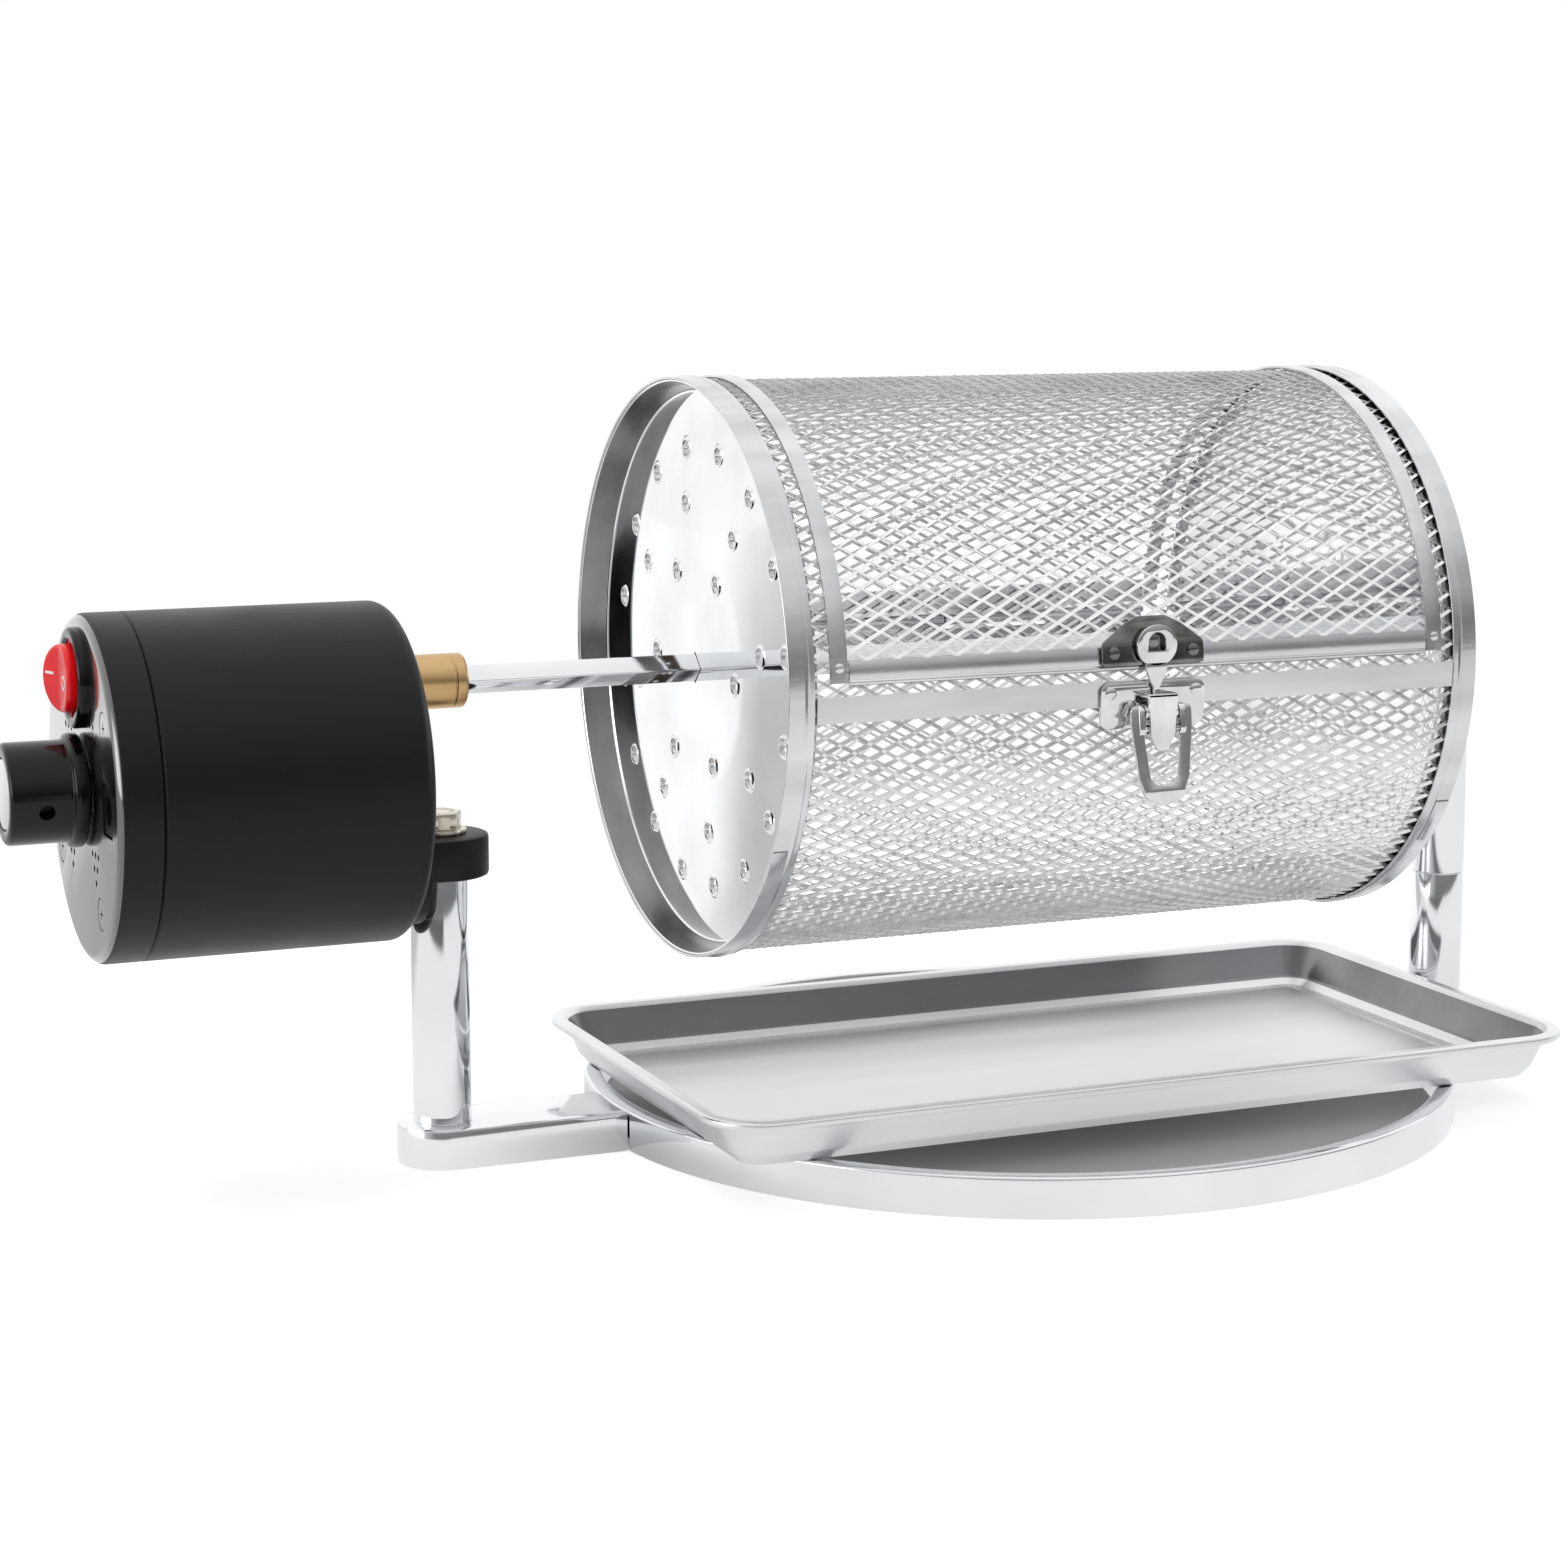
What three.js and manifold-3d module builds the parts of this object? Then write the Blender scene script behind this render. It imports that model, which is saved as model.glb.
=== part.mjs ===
// Table-top coffee roaster: an expanded-metal drum on a square spit, turned by a geared motor.
// Lengths are in millimetres. X runs along the drum, from the motor to the far post.
// The door's latch faces -Y, and Z is the height over the table.

import * as THREE from "three";
import * as BufferGeometryUtils from "three/addons/utils/BufferGeometryUtils.js";
import Module from "manifold-3d";

const wasm = await Module();
wasm.setup();

// General fits and counts

const fit = 0.3; // running gap between pieces
const overrun = 5; // how far a cutting body passes the face that it cuts
const quarter = Math.PI / 2;
const half = Math.PI;
const turn = 2 * Math.PI;
const sidesLarge = 48;
const sidesMedium = 28;
const sidesSmall = 14;
const sidesTiny = 8;
const sidesHole = 6;
const filletSteps = 3;
const cornerSteps = 5;
const stripSteps = 2;

// Base: a flat-bar ring with an arm to each post

const ringRadius = 111.5;
const ringBar = 4.5;
const barHeight = 10;
const ringEdge = 0.8;
const armWidth = 22;
const weldGap = 0.3;
const driveArmReach = 43; // from the ring's edge to the post's axis
const farArmReach = 16.5;

// Posts, fork and their screws

const postRadius = 7;
const drivePostTop = 70;
const farPostTop = 50;
const forkAboveShaft = 6;
const forkEdge = 1;
const spigotRadius = 3;
const spigotLength = 8;
const footScrewHead = 5;
const footScrewCone = 2.7;
const footScrewShank = 2.5;
const footScrewGrip = 12;

// Drum shaft and the drum's hoops

const drumAxisZ = 116.2;
const drumMiddleX = -2.5;
const drumLength = 183;
const sheetRadius = 69.4;
const meshThickness = 1;
const stripThickness = 0.8;
const hoopThickness = 0.6;
const hoopWidth = 6.5;
const hoopBeadInset = 4.6;
const hoopBeadWidth = 0.8;
const hoopBeadHeight = 0.4;
const meshLipInset = 0.6;
const spitSide = 5;

// End plates with their vent holes

const plateRecess = 7.4; // of its rim, from the drum's end
const plateDome = 2.1; // its flat middle stands this far in front of the rim
const plateDomeRadius = 28;
const plateThickness = 1;
const plateFlange = 7.8;
const plateHoleRadius = 2.4;
const plateHoleShares = [0.367, 0.576, 0.768]; // of the sheet's radius
const plateHoleCounts = [6, 8, 16];
const plateHoleAngles = [3, -10, -144];

// Door: the front half turn of the drum, on a back hinge
// Angles run from the drum's top towards the latch side, in degrees.

const doorInset = 3.7; // mesh left free between a hoop and the door's band
const bandWidth = 4.3;
const bandLap = 1.8;
const doorEdgeGap = 0.5;
const doorStripFromAngle = 82.6;
const doorStripToAngle = 86.6;
const doorMeshToAngle = 85.8;
const bodyMeshFromAngle = 86.9;
const bodyStripFromAngle = 89.1;
const bodyStripToAngle = 94;
const hingeAngle = -90;
const hingeMeshGapAngle = 1;
const hingeStripGapAngle = 2.1;
const hingeStripAngle = 5;
const hingePinRadius = 1;
const knuckleWall = 0.9;
const knuckleGap = 0.4;
const knuckleCount = 5;
const hingeStandoff = 2.5; // from the leaves' inner face to the pin's axis
const hingeTabInner = 1;
const hingeTabSide = 1.2;
const hingeTabReach = 3.2;
const hingePinOverhang = 1.5;

// The mesh sheets, opened as a plain grid of cells that stands for the fine diamonds

const gridColumns = 5;
const gridOpenShare = 0.72; // of a cell, each way on the door
const bodyGridInset = 9; // from the drum's end
const bodyGridRows = 5;
const bodyGridFromAngle = 105;
const bodyGridStepAngle = 30; // four of the drum's sides
const bodyGridOpenAngle = 22.5; // three of them
const doorGridInset = 0.6; // from the door's bands
const doorGridRows = 5;
const doorGridAngle = 82; // on both sides of the drum's top

// Toggle latch at the front

const latchX = 0.7; // from the drum's middle
const latchPlate = 0.9;
const catchHalfWidth = 13.5;
const catchBottom = 4.7;
const catchSide = 10;
const catchShoulderX = 7.5;
const catchShoulder = 14.3;
const catchPeakX = 3.5;
const catchPeak = 16.1;
const rivetRadius = 1.5;
const rivetHeight = 0.7;
const catchRivetX = 10.5;
const catchRivetZ = 7.8;
const catchBumpRadius = 1.8;
const catchBumpZ = 10.3;
const baseHalfWidth = 13.8;
const baseTop = 0.9;
const baseBottom = -10.2;
const baseCorner = 2.5;
const baseRivetX = 11.4;
const baseRivetZ = -1.6;
const pivotStandoff = 2.5; // lever pivot in front of the base plate
const pivotZ = -6;
const latchPinRadius = 0.8;
const lugRadius = 1.9;
const earInner = 3.5;
const earOuter = 4.3;
const lugWidth = 1.6;
const linkArm = 4; // from the lever's pivot to the link's pin
const leverTilt = 8;
const leverLegOuter = 8.6;
const leverFootOuter = 7.2;
const leverLegWidth = 4;
const leverTop = 1.5;
const leverLength = 16.5;
const leverBar = 1.6;
const leverLip = 4;
const leverLipHalf = 4;
const leverThickness = 1;
const leverOffset = 0.4;
const linkPlate = 1;
const linkClear = 0.5; // in front of the catch plate's bump
const linkHeadX = 5.35;
const linkHeadBottom = 4.4;
const linkHeadTop = 14.3;
const linkWindowX = 2.25;
const linkWindowBottom = 8.1;
const linkWindowTop = 12.4;
const linkNeckX = 2.65;
const linkStep = 1;
const linkStepZ = -2.1;
const linkTailX = 3.2;
const linkTailBottom = -15;
const linkTailCorner = 2.4;
const linkTailOffset = 2.8;

// Brass coupling, far bush and output shaft

const couplingRadius = 6.5;
const couplingLength = 17.7;
const couplingShaftBore = 9;
const couplingEdge = 0.8;
const outputRadius = 3;
const outputTailRadius = 1.5;
const outputInCoupling = 8;
const spitInCoupling = 8;
const setScrewRadius = 1.7;
const setScrewLength = 3;
const setScrewX = 4.5;
const bushSleeveRadius = 4;
const bushFlangeRadius = 6;
const bushFlange = 1.5;

// Motor bracket with its bolt

const lugThickness = 10;
const bracketLugRadius = 12;
const bracketPlate = 4.2;
const bracketHalfWidth = 20;
const bracketBottom = 60;
const bracketTop = 99;
const bracketBottomCorner = 14;
const bracketTopCorner = 6;
const boltRadius = 3;
const boltFlats = 10;
const boltHead = 4;
const boltGrip = 12;
const washerRadius = 6.8;
const washerThickness = 1.2;
const plateScrewRadius = 1.5;
const plateScrewHead = 3;
const plateScrewHeadHeight = 2;
const plateScrewY = 13;
const plateScrewZ = -8; // from the housing's axis

// Motor housing and its cap

const housingRadius = 40;
const housingWall = 2.5;
const housingEndWall = 3;
const bracketReach = 11.5; // from the drive post's axis to the housing's face
const housingLength = 62;
const housingEdge = 4;
const capDepth = 10.3;
const capFace = 2.5;
const capEdge = 2;
const capSpigotWall = 1.6;
const capSpigotLength = 3;
const capScrewInset = 9; // from the housing's side
const capScrewAngles = [146, 236, 326];
const capScrewHead = 3.5;
const capScrewCone = 2;
const capScrewShank = 1.5;
const capBossRadius = 3.5;
const capBossLength = 8.5;
const capBossInset = 3.5;
const capScrewTipInset = 1;
const ventRadius = 0.8;
const ventPitch = 3.2;
const ventGroupX = 13;
const ventGroupZ = 13;
const ventRows = 3;

// Speed knob, potentiometer and board

const knobRadius = 11.85;
const knobReach = 18; // from the cap's face to the knob's face
const knobEdge = 0.8;
const knobFlangeRadius = 12.75;
const knobFlange = 3;
const knobGap = 0.5;
const knobHollowRadius = 8.5;
const knobHollow = 5;
const knobBoreEnd = 14.5;
const insertRadius = 8;
const insertThickness = 0.8;
const insertRecess = 1.2;
const knobScrewX = 9.5;
const knobScrewAngle = 195; // round the axis, from +Y over +Z
const knobScrewRadius = 1.5;
const knobScrewLength = 5;
const potRadius = 8;
const potLength = 7.7;
const potBushRadius = 4;
const potBushReach = 4.7;
const potShaftRadius = 3;
const potShaftReach = 13.7;
const potShaftTail = 5;
const potNutFlats = 11;
const potNut = 2;
const boardThickness = 1.6;
// The board's edges, as shares of the housing's bore
const boardFromShare = -0.85;
const boardToShare = 0.53;
const boardBottomShare = -0.37;
const boardTopShare = 0.29;
const capacitorRadius = 3.2;
const capacitorHeight = 7;
const capacitorY = 10;

// Rocker switch and power inlet

const bezelKnobGap = 1.35;
const bezelEdgeGap = 2.9; // to the cap's side
const bezelThickness = 2.2;
const bezelEdge = 0.7;
const bezelLap = 1.5;
const switchDepth = 14;
const switchWall = 1.3;
const switchCavityDepth = 7.3;
const bladeWidth = 4.8;
const bladeThickness = 0.8;
const bladeLength = 4.5;
const bladeSpacingShare = 0.5; // of the switch's radius
const rockerGap = 0.85;
const rockerPivotInset = 1.7; // from the cap's face towards the front
const rockerRim = 4;
const rockerValley = 2.6;
const rockerBack = 4;
const rockerBackShare = 0.64; // of the button's radius
const rockerTilt = 10;
const trunnionRadius = 0.8;
const trunnionSeat = 0.5; // into the switch's wall
const jackInset = 12.3; // from the housing's side
const jackZ = -0.8;
const jackWidth = 9;
const jackHeight = 11;
const jackDepth = 9.8;
const jackBoreRadius = 3.2;
const jackBoreDepth = 8;
const jackPinRadius = 1;
const jackPinInset = 1;

// Gear train: three four-to-one stages

const gearModuleShare = 0.0176; // of the gearbox's bore
const pinionTeeth = 10;
const wheelTeeth = 40;
const toothAddendumShare = 0.9; // of the module
const toothDedendumShare = 1.25; // of the module
const toothRootShare = 0.29; // half thickness, of the angle between teeth
const toothTipShare = 0.1;
const gearWidth = 3;
const gearSpacing = 3.7;
const gearboxGap = 1.5; // to the housing's wall
const gearboxWall = 2;
const gearboxDepth = 16;
const gearboxPlate = 2;
const gearboxPlateStep = 1;
const firstGearInset = 2.5; // from the gearbox's inner wall to the output gear
const axlePinRadius = 1;
const idlerOffsetShare = 0.34; // of the gearbox's bore
const outputOffsetShare = 0.6; // of the gearbox's bore
const bushBodyRadius = 5;
const bushHeadRadius = 6.5;
const bushHead = 1.5;

// Motor

const motorRadiusShare = 0.53; // of the gearbox's bore
const motorWall = 1.5;
const motorLength = 26;
const motorBossRadius = 4;
const motorBoss = 1.6;
const motorEndThickness = 2;
const motorEndSpigot = 2;
const motorShaftRadius = 1;
const armatureGap = 3.5;
const armatureLength = 16;
const armatureInset = 3;
const commutatorRadius = 4;
const commutatorLength = 2.4;
const terminalWidth = 3;
const terminalLength = 3;
const terminalY = 8;

// Collecting tray

const trayDriveGap = 34.5; // to the drive post
const trayFarGap = 1; // to the far post
const trayWidth = 130;
const trayMiddleY = -13;
const trayHeight = 12.2;
const trayCorner = 15;
const traySheet = 1;
const trayDraft = 4;
const trayFloorRadius = 2.5;
const trayRim = 3;
const trayRimDrop = 2.2;

// Places worked out from the sizes

const forkTop = drumAxisZ + forkAboveShaft;
const meshInner = sheetRadius - meshThickness;
const stripInner = sheetRadius + fit;
const stripOuter = stripInner + stripThickness;
const latchInner = stripOuter + fit;
const latchOuter = latchInner + latchPlate;
const hingeY = stripInner + hingeStandoff;
const knuckleRadius = hingePinRadius + fit + knuckleWall;
const drivePostX = -ringRadius - driveArmReach;
const farPostX = ringRadius + farArmReach;
const trayFrom = drivePostX + postRadius + trayDriveGap;
const trayTo = farPostX - postRadius - trayFarGap;
const trayLength = trayTo - trayFrom;
const trayMiddleX = (trayFrom + trayTo) / 2;
const housingBore = housingRadius - housingWall;
const gearboxRadius = housingBore - gearboxGap;
const gearboxBore = gearboxRadius - gearboxWall;
const gearModule = gearModuleShare * gearboxBore;
const motorRadius = motorRadiusShare * gearboxBore;
const armatureRadius = motorRadius - motorWall - armatureGap;
const outputZ = outputOffsetShare * gearboxBore; // the drum's axis, above the housing's
const housingAxisZ = drumAxisZ - outputZ;
const bezelRadius = (housingRadius - bezelEdgeGap - knobFlangeRadius - bezelKnobGap) / 2;
const rockerZ = housingRadius - bezelEdgeGap - bezelRadius; // above the housing's axis
const switchRadius = bezelRadius - bezelLap;
const switchCavityRadius = switchRadius - switchWall;
const rockerRadius = switchCavityRadius - rockerGap;
const trunnionReach = switchCavityRadius + trunnionSeat;
const bladeSpacing = bladeSpacingShare * switchRadius;
const capScrewCircle = housingRadius - capScrewInset;
const jackY = jackInset - housingRadius;
const housingFaceX = drivePostX - bracketReach;
const housingOpenX = housingFaceX - housingLength;
const capFaceX = housingOpenX - capDepth;
const knobFaceX = capFaceX - knobReach;
const farEnd = farPostX + armWidth / 2;
const middleX = (knobFaceX + farEnd) / 2;

// Materials

const chrome = { color: 0xd9dcdf, roughness: 0.12, metalness: 1 };
const steel = { color: 0xb9bdc1, roughness: 0.3, metalness: 1 };
const sheetSteel = { color: 0xc6c9cb, roughness: 0.25, metalness: 1 };
const satin = { color: 0xa9adaf, roughness: 0.45, metalness: 1 };
const blackPaint = { color: 0x1b1b1c, roughness: 0.6, metalness: 0.1 };
const blackGloss = { color: 0x0b0b0c, roughness: 0.15, metalness: 0 };
const brass = { color: 0xb98b4e, roughness: 0.35, metalness: 1 };
const redPlastic = { color: 0xe3261d, roughness: 0.2, metalness: 0 };
const whiteNylon = { color: 0xe6e4dc, roughness: 0.5, metalness: 0 };
const bronze = { color: 0x9a6b3c, roughness: 0.5, metalness: 1 };
const boardGreen = { color: 0x1f6b3a, roughness: 0.5, metalness: 0 };

// Geometry helpers

function radians(degrees) {
  return (degrees * half) / 180;
}

// A closed mesh with shared corners, no empty triangles and its faces pointing out
function closed(geometry) {
  const bare = geometry.clone();
  bare.deleteAttribute("normal");
  bare.deleteAttribute("uv");
  const merged = BufferGeometryUtils.mergeVertices(bare);
  const places = merged.attributes.position;
  const kept = [];
  const corners = [0, 1, 2].map(() => new THREE.Vector3());
  let volume = 0;
  for (let i = 0; i < merged.index.count; i += 3) {
    const [a, b, c] = [0, 1, 2].map((k) => merged.index.getX(i + k));
    if (a === b || b === c || c === a) continue;
    kept.push(a, b, c);
    [a, b, c].forEach((vertex, k) => corners[k].fromBufferAttribute(places, vertex));
    volume += corners[0].dot(corners[1].cross(corners[2]));
  }
  if (volume < 0) kept.reverse();
  merged.setIndex(kept);
  return merged;
}

function toSolid(geometry) {
  const mesh = closed(geometry);
  const vertProperties = new Float32Array(mesh.attributes.position.array);
  const triVerts = new Uint32Array(mesh.index.array);
  return new wasm.Manifold(new wasm.Mesh({ numProp: 3, vertProperties, triVerts }));
}

function toGeometry(solid) {
  const mesh = solid.getMesh();
  const geometry = new THREE.BufferGeometry();
  geometry.setAttribute("position", new THREE.BufferAttribute(mesh.vertProperties, 3));
  geometry.setIndex(new THREE.BufferAttribute(mesh.triVerts, 1));
  return geometry;
}

function join(first, ...others) {
  return toGeometry(others.reduce((solid, other) => solid.add(toSolid(other)), toSolid(first)));
}

function cut(first, ...others) {
  return toGeometry(others.reduce((solid, other) => solid.subtract(toSolid(other)), toSolid(first)));
}

function common(first, second) {
  return toGeometry(toSolid(first).intersect(toSolid(second)));
}

// A body turned about an axis along X: the profile is a list of [x, radius]
function turnedX(profile, sides, y = 0, z = 0) {
  const points = profile.map(([x, radius]) => new THREE.Vector2(radius, x));
  return new THREE.LatheGeometry(points, sides).rotateZ(-quarter).translate(0, y, z);
}

// A body turned about an axis along Z: the profile is a list of [radius, z]
function turnedZ(profile, sides, x = 0, y = 0) {
  const points = profile.map(([radius, z]) => new THREE.Vector2(radius, z));
  return new THREE.LatheGeometry(points, sides).rotateX(quarter).translate(x, y, 0);
}

function rodX(radius, from, to, sides, y = 0, z = 0) {
  return turnedX([[from, 0], [from, radius], [to, radius], [to, 0]], sides, y, z);
}

function rodZ(radius, from, to, sides, x = 0, y = 0) {
  return turnedZ([[0, from], [radius, from], [radius, to], [0, to]], sides, x, y);
}

function tubeX(inner, outer, from, to, sides, y = 0, z = 0) {
  const profile = [[from, inner], [from, outer], [to, outer], [to, inner], [from, inner]];
  return turnedX(profile, sides, y, z);
}

function block(x0, x1, y0, y1, z0, z1) {
  const box = new THREE.BoxGeometry(x1 - x0, y1 - y0, z1 - z0);
  return box.translate((x0 + x1) / 2, (y0 + y1) / 2, (z0 + z1) / 2);
}

// A plate with its outline in (x, y), from one height to another
function plateZ(shape, from, to, curveSegments = sidesTiny) {
  const settings = { depth: to - from, bevelEnabled: false, curveSegments };
  return new THREE.ExtrudeGeometry(shape, settings).translate(0, 0, from);
}

// A plate with its outline in (y, z), from one x to another
function plateX(shape, from, to, curveSegments = sidesTiny) {
  const settings = { depth: to - from, bevelEnabled: false, curveSegments };
  const turnAxes = new THREE.Matrix4().makeBasis(
    new THREE.Vector3(0, 1, 0), new THREE.Vector3(0, 0, 1), new THREE.Vector3(1, 0, 0));
  return new THREE.ExtrudeGeometry(shape, settings).applyMatrix4(turnAxes).translate(from, 0, 0);
}

// A plate with its outline in (x, z), between two distances towards the front (-Y)
function plateFront(shape, from, to, curveSegments = sidesTiny) {
  const settings = { depth: to - from, bevelEnabled: false, curveSegments };
  return new THREE.ExtrudeGeometry(shape, settings).rotateX(quarter).translate(0, -from, 0);
}

function outline(points) {
  return new THREE.Shape(points.map(([x, y]) => new THREE.Vector2(x, y)));
}

function circleHole(radius, x, y) {
  return new THREE.Path().absarc(x, y, radius, 0, turn, false);
}

function roundedRectangle(x0, x1, y0, y1, lowRadius, highRadius = lowRadius) {
  const shape = new THREE.Shape();
  shape.absarc(x1 - lowRadius, y0 + lowRadius, lowRadius, -quarter, 0, false);
  shape.absarc(x1 - highRadius, y1 - highRadius, highRadius, 0, quarter, false);
  shape.absarc(x0 + highRadius, y1 - highRadius, highRadius, quarter, half, false);
  shape.absarc(x0 + lowRadius, y0 + lowRadius, lowRadius, half, half + quarter, false);
  return shape;
}

function hexagon(flats, x, y) {
  const corner = flats / Math.sqrt(3);
  const points = [0, 1, 2, 3, 4, 5].map((i) => {
    const angle = (i * turn) / 6;
    return [x + corner * Math.sin(angle), y + corner * Math.cos(angle)];
  });
  return outline(points);
}

// Profile points of a rounded edge between two directions
function fillet(x, radius, size, from, to) {
  const points = [];
  for (let i = 0; i <= filletSteps; i += 1) {
    const angle = radians(from + ((to - from) * i) / filletSteps);
    points.push([x + size * Math.cos(angle), radius + size * Math.sin(angle)]);
  }
  return points;
}

// A bent sheet round the drum's axis, between two angles from the drum's top to its front
function bentSheet(inner, outer, fromAngle, toAngle, x0, x1, steps = stripSteps) {
  const shape = new THREE.Shape();
  const start = radians(fromAngle) + quarter;
  const end = radians(toAngle) + quarter;
  shape.absarc(0, 0, outer, start, end, false);
  shape.absarc(0, 0, inner, end, start, true);
  return plateX(shape, x0, x1, steps);
}

// A sheet round the drum's axis with a flat side between each angle and the next
function facetedSheet(inner, outer, angles, x0, x1) {
  const around = (radius) => (angle) => {
    const turned = radians(angle) + quarter;
    return [radius * Math.cos(turned), radius * Math.sin(turned)];
  };
  const points = [...angles.map(around(outer)), ...angles.map(around(inner)).reverse()];
  return plateX(outline(points), x0, x1);
}

function wedge(radius, fromAngle, toAngle, x0, x1, steps) {
  const shape = new THREE.Shape();
  shape.moveTo(0, 0);
  shape.absarc(0, 0, radius, radians(fromAngle) + quarter, radians(toAngle) + quarter, false);
  return plateX(shape, x0, x1, steps);
}

// A flat outline in (x, z) pressed to the drum's curve
function wrapped(shape, inner, outer) {
  const tool = plateFront(shape, inner - overrun, outer + overrun, sidesHole);
  const shell = tubeX(inner, outer, -catchHalfWidth - overrun, catchHalfWidth + overrun, sidesLarge);
  return common(tool, shell);
}

function gearShape(teeth, phase) {
  const pitchRadius = (gearModule * teeth) / 2;
  const tip = pitchRadius + gearModule * toothAddendumShare;
  const root = pitchRadius - gearModule * toothDedendumShare;
  const pitch = turn / teeth;
  const points = [];
  for (let tooth = 0; tooth < teeth; tooth += 1) {
    const middle = phase + tooth * pitch;
    const corners = [
      [root, -toothRootShare],
      [tip, -toothTipShare],
      [tip, toothTipShare],
      [root, toothRootShare],
    ];
    corners.forEach(([radius, share]) => {
      const angle = middle + share * pitch;
      points.push([radius * Math.cos(angle), radius * Math.sin(angle)]);
    });
  }
  return outline(points);
}

// Assembly groups

const roaster = new THREE.Group();
roaster.position.x = -middleX;

function group(parent, x, y, z) {
  const inner = new THREE.Group();
  inner.position.set(x, y, z);
  parent.add(inner);
  return inner;
}

function piece(parent, name, geometry, finish) {
  const shown = closed(geometry).toNonIndexed();
  shown.computeVertexNormals();
  const mesh = new THREE.Mesh(shown, new THREE.MeshStandardMaterial(finish));
  mesh.name = name;
  parent.add(mesh);
  return mesh;
}

const drumGroup = group(roaster, drumMiddleX, 0, drumAxisZ);
const shaftGroup = group(roaster, 0, 0, drumAxisZ);
const driveGroup = group(roaster, 0, 0, housingAxisZ);
const trayGroup = group(roaster, trayMiddleX, trayMiddleY, barHeight + fit);

// Base

function baseRing() {
  const inner = ringRadius - ringBar;
  const profile = [
    [inner, 0],
    [ringRadius, 0],
    [ringRadius, barHeight - ringEdge],
    [ringRadius - ringEdge, barHeight],
    [inner + ringEdge, barHeight],
    [inner, barHeight - ringEdge],
    [inner, 0],
  ];
  piece(roaster, "base_ring", turnedZ(profile, sidesLarge), chrome);
}

function footScrewProfile(grow) {
  const head = footScrewHead + grow;
  const shank = footScrewShank + grow;
  return [
    [0, fit - grow],
    [head, fit - grow],
    [shank, fit + footScrewCone],
    [shank, barHeight + footScrewGrip + grow],
    [0, barHeight + footScrewGrip + grow],
  ];
}

function arm(name, postX) {
  const reach = Math.abs(postX);
  const side = Math.sign(postX);
  const seam = ringRadius + weldGap;
  const spread = Math.asin(armWidth / 2 / seam);
  const shape = new THREE.Shape();
  shape.absarc(reach, 0, armWidth / 2, -quarter, quarter, false);
  shape.absarc(0, 0, seam, spread, -spread, true);
  const bar = plateZ(shape, 0, barHeight, sidesTiny).rotateZ(side < 0 ? half : 0);
  const sink = turnedZ(footScrewProfile(fit), sidesSmall, postX, 0);
  piece(roaster, name, cut(bar, sink), chrome);
}

function footScrew(name, postX) {
  piece(roaster, name, turnedZ(footScrewProfile(0), sidesSmall, postX, 0), steel);
}

function drivePost() {
  const tapped = footScrewShank + fit;
  const bolted = boltRadius + fit;
  const profile = [
    [0, barHeight + footScrewGrip + fit],
    [tapped, barHeight + footScrewGrip + fit],
    [tapped, barHeight],
    [postRadius, barHeight],
    [postRadius, drivePostTop],
    [bolted, drivePostTop],
    [bolted, drivePostTop - boltGrip - fit],
    [0, drivePostTop - boltGrip - fit],
  ];
  piece(roaster, "drive_post", turnedZ(profile, sidesMedium, drivePostX, 0), chrome);
}

function farPost() {
  const tapped = footScrewShank + fit;
  const socket = spigotRadius + fit;
  const profile = [
    [0, barHeight + footScrewGrip + fit],
    [tapped, barHeight + footScrewGrip + fit],
    [tapped, barHeight],
    [postRadius, barHeight],
    [postRadius, farPostTop],
    [socket, farPostTop],
    [socket, farPostTop - spigotLength - fit],
    [0, farPostTop - spigotLength - fit],
  ];
  piece(roaster, "far_post", turnedZ(profile, sidesMedium, farPostX, 0), chrome);
}

function farFork() {
  const profile = [
    [0, farPostTop - spigotLength],
    [spigotRadius, farPostTop - spigotLength],
    [spigotRadius, farPostTop],
    [postRadius, farPostTop],
    [postRadius, forkTop - forkEdge],
    [postRadius - forkEdge, forkTop],
    [0, forkTop],
  ];
  const notch = bushSleeveRadius + fit;
  const from = farPostX - postRadius - overrun;
  const to = farPostX + postRadius + overrun;
  const slot = block(from, to, -notch, notch, drumAxisZ, forkTop + overrun);
  const slotFoot = rodX(notch, from, to, sidesSmall, 0, drumAxisZ);
  piece(roaster, "far_fork", cut(turnedZ(profile, sidesMedium, farPostX, 0), slot, slotFoot), chrome);
}

// Motor bracket

function motorBracket() {
  const lugTop = drivePostTop + lugThickness;
  const plateFace = housingFaceX + bracketPlate;
  const lugShape = new THREE.Shape();
  lugShape.moveTo(housingFaceX, -bracketLugRadius);
  lugShape.absarc(drivePostX, 0, bracketLugRadius, -quarter, quarter, false);
  lugShape.lineTo(housingFaceX, bracketLugRadius);
  const lug = plateZ(lugShape, drivePostTop, lugTop);
  const plateShape = roundedRectangle(
    -bracketHalfWidth, bracketHalfWidth, bracketBottom, bracketTop, bracketBottomCorner, bracketTopCorner);
  const plate = plateX(plateShape, housingFaceX, plateFace, sidesHole);
  const boltHole = rodZ(boltRadius + fit, drivePostTop - overrun, lugTop + overrun, sidesSmall, drivePostX, 0);
  const screwZ = housingAxisZ + plateScrewZ;
  const holes = [-plateScrewY, plateScrewY].map((y) => rodX(
    plateScrewRadius + fit, housingFaceX - overrun, plateFace + overrun, sidesTiny, y, screwZ));
  piece(roaster, "motor_bracket", cut(join(lug, plate), boltHole, ...holes), blackPaint);
}

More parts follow.
